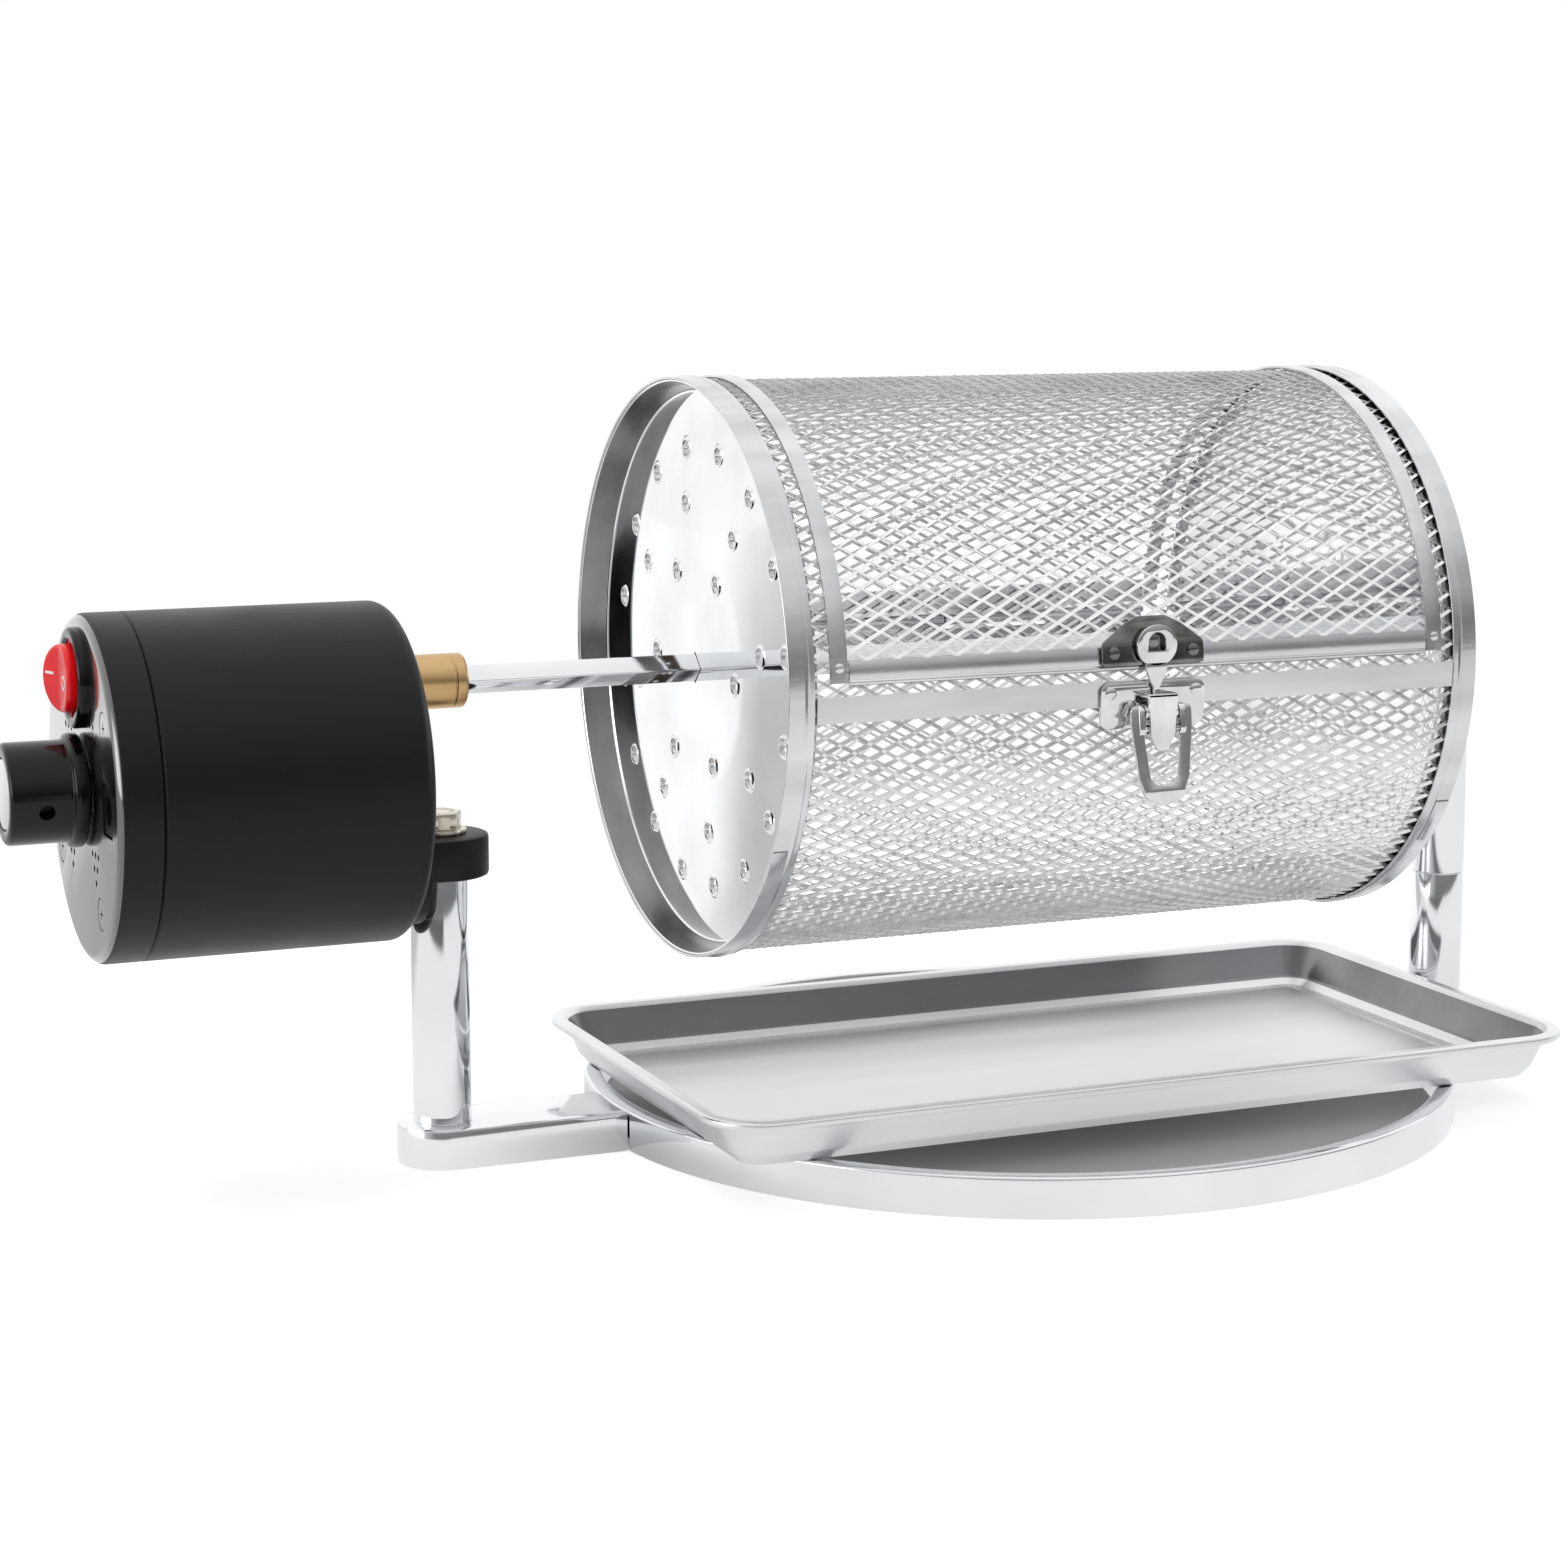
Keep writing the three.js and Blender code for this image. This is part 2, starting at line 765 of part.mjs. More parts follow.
function bracketBolt() {
  const lugTop = drivePostTop + lugThickness;
  const headFrom = lugTop + washerThickness;
  const head = plateZ(hexagon(boltFlats, 0, 0), headFrom, headFrom + boltHead).rotateZ(quarter);
  const shank = rodZ(boltRadius, drivePostTop - boltGrip, headFrom + boltHead / 2, sidesSmall);
  const washer = turnedZ([
    [boltRadius + fit, lugTop],
    [washerRadius, lugTop],
    [washerRadius, headFrom],
    [boltRadius + fit, headFrom],
    [boltRadius + fit, lugTop],
  ], sidesMedium, drivePostX, 0);
  piece(roaster, "bracket_washer", washer, steel);
  piece(roaster, "bracket_bolt", join(head, shank).translate(drivePostX, 0, 0), steel);
}

function bracketScrew(name, y) {
  const face = housingFaceX + bracketPlate;
  const tip = housingFaceX - housingEndWall - gearboxWall + fit;
  const profile = [
    [tip, 0],
    [tip, plateScrewRadius],
    [face, plateScrewRadius],
    [face, plateScrewHead],
    [face + plateScrewHeadHeight, plateScrewHead],
    [face + plateScrewHeadHeight, 0],
  ];
  piece(driveGroup, name, turnedX(profile, sidesSmall, y, plateScrewZ), steel);
}

// Housing and cap

function capScrewPlace(angle) {
  return [capScrewCircle * Math.cos(radians(angle)), capScrewCircle * Math.sin(radians(angle))];
}

function motorHousing() {
  const inside = housingFaceX - housingEndWall;
  const profile = [
    [inside, 0],
    [inside, housingBore],
    [housingOpenX, housingBore],
    [housingOpenX, housingRadius],
    ...fillet(housingFaceX - housingEdge, housingRadius - housingEdge, housingEdge, 90, 0),
    [housingFaceX, 0],
  ];
  const shell = turnedX(profile, sidesLarge);
  const bossFrom = housingOpenX + capBossInset;
  const bossTo = bossFrom + capBossLength;
  const bosses = [];
  const bossHoles = [];
  capScrewAngles.forEach((angle) => {
    const [y, z] = capScrewPlace(angle);
    const webSide = capBossRadius / 2;
    const web = block(bossFrom, bossTo, capScrewCircle, housingBore + housingWall / 2, -webSide, webSide);
    bosses.push(web.rotateX(radians(angle)));
    bosses.push(rodX(capBossRadius, bossFrom, bossTo, sidesTiny, y, z));
    bossHoles.push(rodX(capScrewShank + fit, bossFrom - overrun, bossTo + overrun, sidesTiny, y, z));
  });
  const shaftHole = rodX(
    bushBodyRadius + fit, inside - overrun, housingFaceX + overrun, sidesSmall, 0, outputZ);
  const screwHoles = [-plateScrewY, plateScrewY].map((y) => rodX(
    plateScrewRadius + fit, inside - overrun, housingFaceX + overrun, sidesTiny, y, plateScrewZ));
  const body = cut(join(shell, ...bosses), shaftHole, ...screwHoles, ...bossHoles);
  piece(driveGroup, "motor_housing", body, blackPaint);
}

// Triangles of small round vents, one on each diagonal round the knob
function ventHoles(from, to) {
  const holes = [];
  [[-1, -1], [1, -1], [-1, 1], [1, 1]].forEach(([sideY, sideZ]) => {
    for (let row = 0; row < ventRows; row += 1) {
      for (let place = 0; place < ventRows - row; place += 1) {
        const y = sideY * (ventGroupX + (place - (ventRows - row - 1) / 2) * ventPitch);
        const z = sideZ * (ventGroupZ + row * ventPitch);
        holes.push(rodX(ventRadius, from, to, sidesHole, y, z));
      }
    }
  });
  return holes;
}

// The countersunk screw behind its head's face; the hole for it is the same, grown by the fit
function capScrewProfile(grow) {
  const tip = housingOpenX + capBossInset + capBossLength - capScrewTipInset;
  return [
    [capFaceX, capScrewHead + grow],
    [capFaceX + capScrewCone, capScrewShank + grow],
    [tip, capScrewShank + grow],
    [tip, 0],
  ];
}

function housingCap() {
  const inside = capFaceX + capFace;
  const spigotOuter = housingBore - fit;
  const spigotInner = spigotOuter - capSpigotWall;
  const profile = [
    [inside, 0],
    [inside, spigotInner],
    [housingOpenX + capSpigotLength, spigotInner],
    [housingOpenX + capSpigotLength, spigotOuter],
    [housingOpenX, spigotOuter],
    [housingOpenX, housingRadius],
    ...fillet(capFaceX + capEdge, housingRadius - capEdge, capEdge, 90, 180),
    [capFaceX, 0],
  ];
  const from = capFaceX - overrun;
  const to = inside + overrun;
  const cuts = [
    rodX(potBushRadius + fit, from, to, sidesSmall),
    rodX(switchRadius + fit, from, to, sidesMedium, 0, rockerZ),
    block(from, to, jackY - jackWidth / 2 - fit, jackY + jackWidth / 2 + fit,
      jackZ - jackHeight / 2 - fit, jackZ + jackHeight / 2 + fit),
    ...ventHoles(from, to),
  ];
  capScrewAngles.forEach((angle) => {
    const [y, z] = capScrewPlace(angle);
    const mouth = [[from, 0], [from, capScrewHead + fit]];
    cuts.push(turnedX([...mouth, ...capScrewProfile(fit)], sidesSmall, y, z));
  });
  piece(driveGroup, "housing_cap", cut(turnedX(profile, sidesLarge), ...cuts), blackPaint);
}

function capScrew(name, angle) {
  const [y, z] = capScrewPlace(angle);
  piece(driveGroup, name, turnedX([[capFaceX, 0], ...capScrewProfile(0)], sidesSmall, y, z), blackPaint);
}

// Knob, potentiometer and board

function controlKnob() {
  const back = capFaceX - knobGap;
  const knobGroup = group(driveGroup, 0, 0, 0);
  const profile = [
    [back - knobBoreEnd, 0],
    [back - knobBoreEnd, potShaftRadius + fit],
    [back - knobHollow, potShaftRadius + fit],
    [back - knobHollow, knobHollowRadius],
    [back, knobHollowRadius],
    [back, knobFlangeRadius],
    [back - knobFlange, knobFlangeRadius],
    [back - knobFlange, knobRadius],
    ...fillet(knobFaceX + knobEdge, knobRadius - knobEdge, knobEdge, 90, 180),
    [knobFaceX, insertRadius + fit],
    [knobFaceX + insertRecess, insertRadius + fit],
    [knobFaceX + insertRecess, 0],
  ];
  const hole = rodZ(knobScrewRadius + fit, 0, knobRadius + overrun, sidesTiny);
  hole.translate(back - knobScrewX, 0, 0);
  hole.rotateX(radians(knobScrewAngle) - quarter);
  piece(knobGroup, "control_knob", cut(turnedX(profile, sidesMedium), hole), blackGloss);

  const insertFrom = knobFaceX + insertRecess - insertThickness - fit;
  const insert = rodX(insertRadius, insertFrom, insertFrom + insertThickness, sidesMedium);
  piece(knobGroup, "knob_insert", insert, satin);

  const screwFrom = potShaftRadius + fit;
  const screw = rodZ(knobScrewRadius, screwFrom, screwFrom + knobScrewLength, sidesTiny);
  screw.translate(back - knobScrewX, 0, 0);
  screw.rotateX(radians(knobScrewAngle) - quarter);
  piece(knobGroup, "knob_set_screw", screw, steel);

  const shaftTail = capFaceX + capFace + fit + potShaftTail;
  piece(knobGroup, "knob_shaft", rodX(potShaftRadius, capFaceX - potShaftReach, shaftTail, sidesSmall), steel);
}

function potentiometer() {
  const seat = capFaceX + capFace + fit;
  const bore = potShaftRadius + fit;
  const profile = [
    [seat + potShaftTail + fit, 0],
    [seat + potShaftTail + fit, bore],
    [capFaceX - potBushReach, bore],
    [capFaceX - potBushReach, potBushRadius],
    [seat, potBushRadius],
    [seat, potRadius],
    [seat + potLength, potRadius],
    [seat + potLength, 0],
  ];
  piece(driveGroup, "potentiometer", turnedX(profile, sidesMedium), steel);

  const nutShape = hexagon(potNutFlats, 0, 0);
  nutShape.holes.push(circleHole(potBushRadius + fit, 0, 0));
  const nutBack = capFaceX - fit;
  piece(driveGroup, "potentiometer_nut", plateX(nutShape, nutBack - potNut, nutBack), steel);
}

function speedBoard() {
  const from = capFaceX + capFace + fit + potLength + fit;
  const to = from + boardThickness;
  const board = block(from, to, boardFromShare * housingBore, boardToShare * housingBore,
    boardBottomShare * housingBore, boardTopShare * housingBore);
  const capacitor = rodX(
    capacitorRadius, to - boardThickness / 2, to + capacitorHeight, sidesTiny, -capacitorY, 0);
  const regulator = block(to - boardThickness / 2, to + capacitorHeight / 2,
    capacitorY - capacitorRadius, capacitorY + capacitorRadius, -capacitorRadius, capacitorRadius);
  piece(driveGroup, "speed_board", join(board, capacitor, regulator), boardGreen);
}

// Switch and inlet

function rockerSwitch() {
  const front = capFaceX - bezelThickness;
  const back = capFaceX + switchDepth;
  const profile = [
    [back, 0],
    [back, switchRadius],
    [capFaceX, switchRadius],
    [capFaceX, bezelRadius],
    [front + bezelEdge, bezelRadius],
    [front, bezelRadius - bezelEdge],
    [front, switchCavityRadius],
    [front + bezelThickness + switchCavityDepth, switchCavityRadius],
    [front + bezelThickness + switchCavityDepth, 0],
  ];
  const pivotX = capFaceX - rockerPivotInset;
  const blades = [-bladeSpacing, bladeSpacing].map((y) => block(
    back - bladeThickness, back + bladeLength, y - bladeThickness / 2, y + bladeThickness / 2,
    rockerZ - bladeWidth / 2, rockerZ + bladeWidth / 2));
  const seats = rodZ(
    trunnionRadius + fit, rockerZ - trunnionReach - fit, rockerZ + trunnionReach + fit, sidesTiny);
  seats.translate(pivotX, 0, 0);
  const body = cut(join(turnedX(profile, sidesMedium, 0, rockerZ), ...blades), seats);
  piece(driveGroup, "rocker_switch_body", body, blackGloss);

  const tilted = group(driveGroup, pivotX, 0, rockerZ);
  tilted.rotation.z = radians(rockerTilt);
  const shape = outline([
    [-rockerRim, -rockerRadius],
    [rockerPivotInset, -rockerRadius],
    [rockerBack, -rockerBackShare * rockerRadius],
    [rockerBack, rockerBackShare * rockerRadius],
    [rockerPivotInset, rockerRadius],
    [-rockerRim, rockerRadius],
    [-rockerValley, 0],
  ]);
  const slab = plateZ(shape, -rockerRadius, rockerRadius);
  const round = rodX(rockerRadius, -rockerRim - overrun, rockerBack + overrun, sidesMedium);
  const trunnions = rodZ(trunnionRadius, -trunnionReach, trunnionReach, sidesTiny);
  piece(tilted, "rocker_button", join(common(slab, round), trunnions), redPlastic);
}

function dcJack() {
  const front = capFaceX + fit;
  const back = capFaceX + jackDepth;
  const body = block(front, back, jackY - jackWidth / 2, jackY + jackWidth / 2,
    jackZ - jackHeight / 2, jackZ + jackHeight / 2);
  const bore = rodX(jackBoreRadius, front - overrun, front + jackBoreDepth, sidesSmall, jackY, jackZ);
  const pin = rodX(jackPinRadius, front + jackPinInset, back - jackPinInset / 2, sidesTiny, jackY, jackZ);
  piece(driveGroup, "dc_jack", join(cut(body, bore), pin), blackGloss);
}

// Gear train

const gearboxFace = housingFaceX - housingEndWall;
const gearboxInside = gearboxFace - gearboxWall;
const gearboxRim = gearboxFace - gearboxDepth;
const plateOuter = gearboxRim - gearboxPlate;
const centreDistance = (gearModule * (pinionTeeth + wheelTeeth)) / 2;
const idlerOffset = idlerOffsetShare * gearboxBore;
const idlerDrop = Math.sqrt(centreDistance ** 2 - idlerOffset ** 2);
const outputPlace = [0, outputZ];
const idler2Place = [idlerOffset, outputZ - idlerDrop];
const idler1Place = [0, outputZ - 2 * idlerDrop];
const motorPlace = [0, outputZ - 2 * idlerDrop - centreDistance];

function layerFrom(layer) {
  return gearboxInside - firstGearInset - layer * gearSpacing - gearWidth;
}

function directionTo(from, to) {
  return Math.atan2(to[1] - from[1], to[0] - from[0]);
}

// Toothed wheel on an axis along X; a tooth, or a gap, faces the given direction
function gearX(teeth, place, layer, direction, gapFaces, boreRadius) {
  const phase = direction + (gapFaces ? half / teeth : 0);
  const shape = gearShape(teeth, phase);
  if (boreRadius > 0) shape.holes.push(circleHole(boreRadius, 0, 0));
  const from = layerFrom(layer);
  return plateX(shape, from, from + gearWidth, sidesTiny / 2).translate(0, place[0], place[1]);
}

function idler(name, place, wheelLayer, pinionLayer, wheelMate, pinionMate) {
  const bore = axlePinRadius + fit;
  const wheel = gearX(wheelTeeth, place, wheelLayer, directionTo(place, wheelMate), true, bore);
  const pinion = gearX(pinionTeeth, place, pinionLayer, directionTo(place, pinionMate), false, bore);
  const hubRadius = (gearModule * pinionTeeth) / 2 - gearModule * toothDedendumShare;
  const hub = tubeX(bore, hubRadius, layerFrom(wheelLayer) + gearWidth / 2,
    layerFrom(pinionLayer) + gearWidth / 2, sidesTiny, place[0], place[1]);
  piece(driveGroup, name, join(wheel, pinion, hub), whiteNylon);
}

function outputTrain() {
  const gear = gearX(
    wheelTeeth, outputPlace, 0, directionTo(outputPlace, idler2Place), true, outputRadius + fit);
  piece(driveGroup, "output_gear", gear, steel);

  const shaft = turnedX([
    [plateOuter + fit, 0],
    [plateOuter + fit, outputTailRadius],
    [layerFrom(0) - fit, outputTailRadius],
    [layerFrom(0) - fit, outputRadius],
    [housingFaceX + fit + outputInCoupling, outputRadius],
    [housingFaceX + fit + outputInCoupling, 0],
  ], sidesSmall, outputPlace[0], outputPlace[1]);
  piece(driveGroup, "output_shaft", shaft, steel);

  const bore = outputRadius + fit;
  const bush = turnedX([
    [gearboxInside - bushHead - fit, bore],
    [gearboxInside - bushHead - fit, bushHeadRadius],
    [gearboxInside - fit, bushHeadRadius],
    [gearboxInside - fit, bushBodyRadius],
    [housingFaceX - fit, bushBodyRadius],
    [housingFaceX - fit, bore],
    [gearboxInside - bushHead - fit, bore],
  ], sidesSmall, outputPlace[0], outputPlace[1]);
  piece(driveGroup, "output_bush", bush, bronze);
}

function gearboxCase() {
  const profile = [
    [gearboxInside, 0],
    [gearboxInside, gearboxBore],
    [gearboxRim, gearboxBore],
    [gearboxRim, gearboxRadius],
    [gearboxFace, gearboxRadius],
    [gearboxFace, 0],
  ];
  const bushHole = rodX(
    bushBodyRadius + fit, gearboxInside - overrun, gearboxFace + overrun, sidesSmall, 0, outputZ);
  const screwHoles = [-plateScrewY, plateScrewY].map((y) => rodX(
    plateScrewRadius + fit, gearboxInside - overrun, gearboxFace + overrun, sidesTiny, y, plateScrewZ));
  piece(driveGroup, "gearbox_case", cut(turnedX(profile, sidesMedium), bushHole, ...screwHoles), steel);
}

function gearboxCover() {
  const step = gearboxBore - fit;
  const disc = turnedX([
    [plateOuter, 0],
    [plateOuter, gearboxRadius],
    [gearboxRim, gearboxRadius],
    [gearboxRim, step],
    [gearboxRim + gearboxPlateStep, step],
    [gearboxRim + gearboxPlateStep, 0],
  ], sidesMedium);
  const from = plateOuter - overrun;
  const to = gearboxRim + gearboxPlateStep + overrun;
  const holes = [
    rodX(motorBossRadius + fit, from, to, sidesSmall, motorPlace[0], motorPlace[1]),
    rodX(outputTailRadius + fit, from, to, sidesTiny, outputPlace[0], outputPlace[1]),
  ];
  const pins = [idler1Place, idler2Place].map(([y, z]) => rodX(
    axlePinRadius, gearboxRim, gearboxInside - fit, sidesTiny, y, z));
  piece(driveGroup, "gearbox_plate", join(cut(disc, ...holes), ...pins), steel);
}

// Motor

function motor() {
  const open = plateOuter - motorLength;
  const bore = motorShaftRadius + fit;
  const can = turnedX([
    [open, motorRadius - motorWall],
    [plateOuter - motorWall, motorRadius - motorWall],
    [plateOuter - motorWall, bore],
    [plateOuter + motorBoss, bore],
    [plateOuter + motorBoss, motorBossRadius],
    [plateOuter, motorBossRadius],
    [plateOuter, motorRadius],
    [open, motorRadius],
    [open, motorRadius - motorWall],
  ], sidesMedium, motorPlace[0], motorPlace[1]);
  piece(driveGroup, "motor_can", can, steel);

  const spigot = motorRadius - motorWall - fit;
  const end = turnedX([
    [open - motorEndThickness, bore],
    [open - motorEndThickness, motorRadius],
    [open, motorRadius],
    [open, spigot],
    [open + motorEndSpigot, spigot],
    [open + motorEndSpigot, bore],
    [open - motorEndThickness, bore],
  ], sidesMedium, motorPlace[0], motorPlace[1]);
  const terminals = [-terminalY, terminalY].map((y) => block(
    open - motorEndThickness - terminalLength, open - motorEndThickness / 2,
    y - terminalWidth / 2, y + terminalWidth / 2,
    motorPlace[1] - bladeThickness / 2, motorPlace[1] + bladeThickness / 2));
  piece(driveGroup, "motor_end_cap", join(end, ...terminals), whiteNylon);

  const armatureTo = plateOuter - motorWall - armatureInset;
  const armatureFrom = armatureTo - armatureLength;
  const rotor = turnedX([
    [open - motorEndThickness + fit, 0],
    [open - motorEndThickness + fit, motorShaftRadius],
    [armatureFrom - commutatorLength, motorShaftRadius],
    [armatureFrom - commutatorLength, commutatorRadius],
    [armatureFrom, commutatorRadius],
    [armatureFrom, armatureRadius],
    [armatureTo, armatureRadius],
    [armatureTo, motorShaftRadius],
    [layerFrom(2) + gearWidth, motorShaftRadius],
    [layerFrom(2) + gearWidth, 0],
  ], sidesSmall, motorPlace[0], motorPlace[1]);
  const pinion = gearX(pinionTeeth, motorPlace, 2, directionTo(motorPlace, idler1Place), false, 0);
  piece(driveGroup, "motor_rotor", join(rotor, pinion), steel);
}

// Shaft line

const couplingFrom = housingFaceX + fit;
const couplingTo = couplingFrom + couplingLength;
const spitFrom = couplingTo - spitInCoupling;
const bushFrom = farPostX - postRadius - fit - bushFlange;
const bushTo = farPostX + postRadius;

// A square bar on the shaft line, standing on its edge
function squareBar(side, from, to) {
  return block(from, to, -side / 2, side / 2, -side / 2, side / 2).rotateX(half / 4);
}

function brassCoupling() {
  const bore = outputRadius + fit;
  const body = turnedX([
    [couplingFrom + couplingShaftBore, 0],
    [couplingFrom + couplingShaftBore, bore],
    [couplingFrom, bore],
    [couplingFrom, couplingRadius],
    [couplingTo - couplingEdge, couplingRadius],
    [couplingTo, couplingRadius - couplingEdge],
    [couplingTo, 0],
  ], sidesMedium);
  const socket = squareBar(spitSide + 2 * fit, spitFrom - fit, couplingTo + overrun);
  const screwX = couplingFrom + setScrewX;
  const screwHole = rodZ(setScrewRadius + fit, -couplingRadius - overrun, 0, sidesTiny, screwX, 0);
  piece(shaftGroup, "brass_coupling", cut(body, socket, screwHole), brass);

  const screwTo = -outputRadius - fit;
  const screw = rodZ(setScrewRadius, screwTo - setScrewLength, screwTo, sidesTiny, screwX, 0);
  piece(shaftGroup, "coupling_set_screw", screw, steel);
}

function spit() {
  piece(shaftGroup, "spit_shaft", squareBar(spitSide, spitFrom, bushTo - fit), chrome);
  const body = turnedX([
    [bushFrom, 0],
    [bushFrom, bushFlangeRadius],
    [bushFrom + bushFlange, bushFlangeRadius],
    [bushFrom + bushFlange, bushSleeveRadius],
    [bushTo, bushSleeveRadius],
    [bushTo, 0],
  ], sidesSmall);
  const socket = squareBar(spitSide + 2 * fit, bushFrom - overrun, bushTo + overrun);
  piece(shaftGroup, "far_bush", cut(body, socket), steel);
}

// Drum

const left = -drumLength / 2;
const right = drumLength / 2;
const doorFrom = left + hoopWidth + doorInset;
const doorTo = right - hoopWidth - doorInset;

function endHoop(name, side) {
  const inner = stripInner;
  const outer = stripInner + hoopThickness;
  const bead = outer + hoopBeadHeight;
  const places = [
    [0, inner],
    [0, outer],
    [hoopBeadInset - hoopBeadWidth / 2, outer],
    [hoopBeadInset, bead],
    [hoopBeadInset + hoopBeadWidth / 2, outer],
    [hoopWidth, outer],
    [hoopWidth, inner],
    [0, inner],
  ];
  const profile = places.map(([inset, radius]) => [side * (right - inset), radius]);
  piece(drumGroup, name, turnedX(profile, sidesLarge), sheetSteel);
}

function endPlate(name, side) {
  const flangeOuter = meshInner - fit;
  const flangeInner = flangeOuter - plateThickness;
  const face = right - plateRecess;
  const middle = face + plateDome;
  const profile = [
    [middle - plateThickness, 0],
    [middle - plateThickness, plateDomeRadius],
    [face - plateThickness, flangeInner],
    [face - plateThickness, flangeOuter],
    [face - plateThickness + plateFlange, flangeOuter],
    [face - plateThickness + plateFlange, flangeInner],
    [face, flangeInner],
    [middle, plateDomeRadius],
    [middle, 0],
  ].map(([x, radius]) => [side * x, radius]);
  const cuts = [squareBar(spitSide + 2 * fit, side * face - overrun, side * face + overrun)];
  plateHoleShares.forEach((share, ring) => {
    const radius = share * sheetRadius;
    const count = plateHoleCounts[ring];
    for (let i = 0; i < count; i += 1) {
      const angle = radians(plateHoleAngles[ring]) + (i * turn) / count;
      cuts.push(rodX(plateHoleRadius, side * face - overrun, side * face + overrun, sidesHole,
        radius * Math.cos(angle), radius * Math.sin(angle)));
    }
  });
  piece(drumGroup, name, cut(turnedX(profile, sidesLarge), ...cuts), sheetSteel);
}

// Bodies that open a row of a sheet's cells between two angles
function cellRow(fromAngle, toAngle, x0, x1) {
  const pitch = (x1 - x0) / gridColumns;
  const bar = (1 - gridOpenShare) * pitch;
  const angles = [fromAngle, (fromAngle + toAngle) / 2, toAngle];
  const cells = [];
  for (let column = 0; column < gridColumns; column += 1) {
    const from = x0 + column * pitch + bar / 2;
    cells.push(facetedSheet(meshInner - overrun, sheetRadius + overrun, angles,
      from, from + pitch - bar));
  }
  return cells;
}

function drumBody() {
  const tube = tubeX(meshInner, sheetRadius, left + meshLipInset, right - meshLipInset, sidesLarge);
  const window = wedge(sheetRadius + overrun, hingeAngle - hingeMeshGapAngle, bodyMeshFromAngle,
    doorFrom + bandLap, doorTo - bandLap, sidesMedium);
  const cells = [];
  for (let row = 0; row < bodyGridRows; row += 1) {
    const from = bodyGridFromAngle + row * bodyGridStepAngle;
    cells.push(...cellRow(from, from + bodyGridOpenAngle, left + bodyGridInset, right - bodyGridInset));
  }
  piece(drumGroup, "drum_body_mesh", cut(tube, window, ...cells), sheetSteel);

  const strip = bentSheet(stripInner, stripOuter, bodyStripFromAngle, bodyStripToAngle,
    left + hoopWidth + fit, right - hoopWidth - fit);
  piece(drumGroup, "body_front_strip", strip, sheetSteel);
}

// Every other knuckle, from a first one, of the hinge's row
function knuckleSpans(first) {
  const from = doorFrom + bandWidth + knuckleGap;
  const length = (doorTo - doorFrom - 2 * bandWidth - knuckleGap) / knuckleCount;
  const spans = [];
  for (let i = first; i < knuckleCount; i += 2) {
    spans.push([from + i * length, from + (i + 1) * length - knuckleGap]);
  }
  return spans;
}

function hingeLeaf(name, first, side) {
  const near = hingeAngle + side * hingeStripGapAngle;
  const far = near + side * hingeStripAngle;
  const leaf = bentSheet(stripInner, stripOuter, Math.min(near, far), Math.max(near, far),
    doorFrom + bandWidth + fit, doorTo - bandWidth - fit);
  const spans = knuckleSpans(first);
  const knuckles = spans.map(([from, to]) => rodX(knuckleRadius, from, to, sidesTiny, hingeY, 0));
  const tabs = spans.map(([from, to]) => block(from, to, stripInner + fit / 2, hingeY - hingeTabInner,
    Math.min(side * hingeTabSide, side * hingeTabReach), Math.max(side * hingeTabSide, side * hingeTabReach)));
  const bore = rodX(hingePinRadius + fit, left, right, sidesTiny, hingeY, 0);
  piece(drumGroup, name, cut(join(leaf, ...knuckles, ...tabs), bore), sheetSteel);
}

function hingePin() {
  const from = doorFrom + bandWidth + knuckleGap - hingePinOverhang;
  const to = doorTo - bandWidth - knuckleGap + hingePinOverhang;
  piece(drumGroup, "hinge_pin", rodX(hingePinRadius, from, to, sidesTiny, hingeY, 0), steel);
}

function door() {
  const angles = [hingeAngle + hingeMeshGapAngle];
  const cells = [];
  const rise = (2 * doorGridAngle) / doorGridRows;
  const bar = (1 - gridOpenShare) * rise;
  for (let row = 0; row < doorGridRows; row += 1) {
    const from = row * rise - doorGridAngle + bar / 2;
    angles.push(from, from + (rise - bar) / 2, from + rise - bar);
    cells.push(...cellRow(from, from + rise - bar, doorFrom + bandWidth + doorGridInset,
      doorTo - bandWidth - doorGridInset));
  }
  angles.push(doorMeshToAngle);
  const mesh = facetedSheet(meshInner, sheetRadius, angles,
    doorFrom + bandLap + doorEdgeGap, doorTo - bandLap - doorEdgeGap);
  piece(drumGroup, "door_mesh", cut(mesh, ...cells), sheetSteel);
  const bandStart = hingeAngle + hingeStripGapAngle;
  const bands = [["door_left_band", doorFrom], ["door_right_band", doorTo - bandWidth]];
  bands.forEach(([name, from]) => {
    const band = bentSheet(
      stripInner, stripOuter, bandStart, doorStripToAngle, from, from + bandWidth, sidesSmall);
    piece(drumGroup, name, band, sheetSteel);
  });
  const strip = bentSheet(stripInner, stripOuter, doorStripFromAngle, doorStripToAngle,
    doorFrom + bandWidth + fit, doorTo - bandWidth - fit);
  piece(drumGroup, "door_front_strip", strip, sheetSteel);
}

// Latch

const latchGroup = group(drumGroup, latchX, 0, 0);

function rivetHeads(places) {
  return places.map(([x, z]) => plateFront(
    new THREE.Shape().absarc(x, z, rivetRadius, 0, turn, false), latchInner + latchPlate / 2,
    latchOuter + rivetHeight, sidesHole / 2));
}

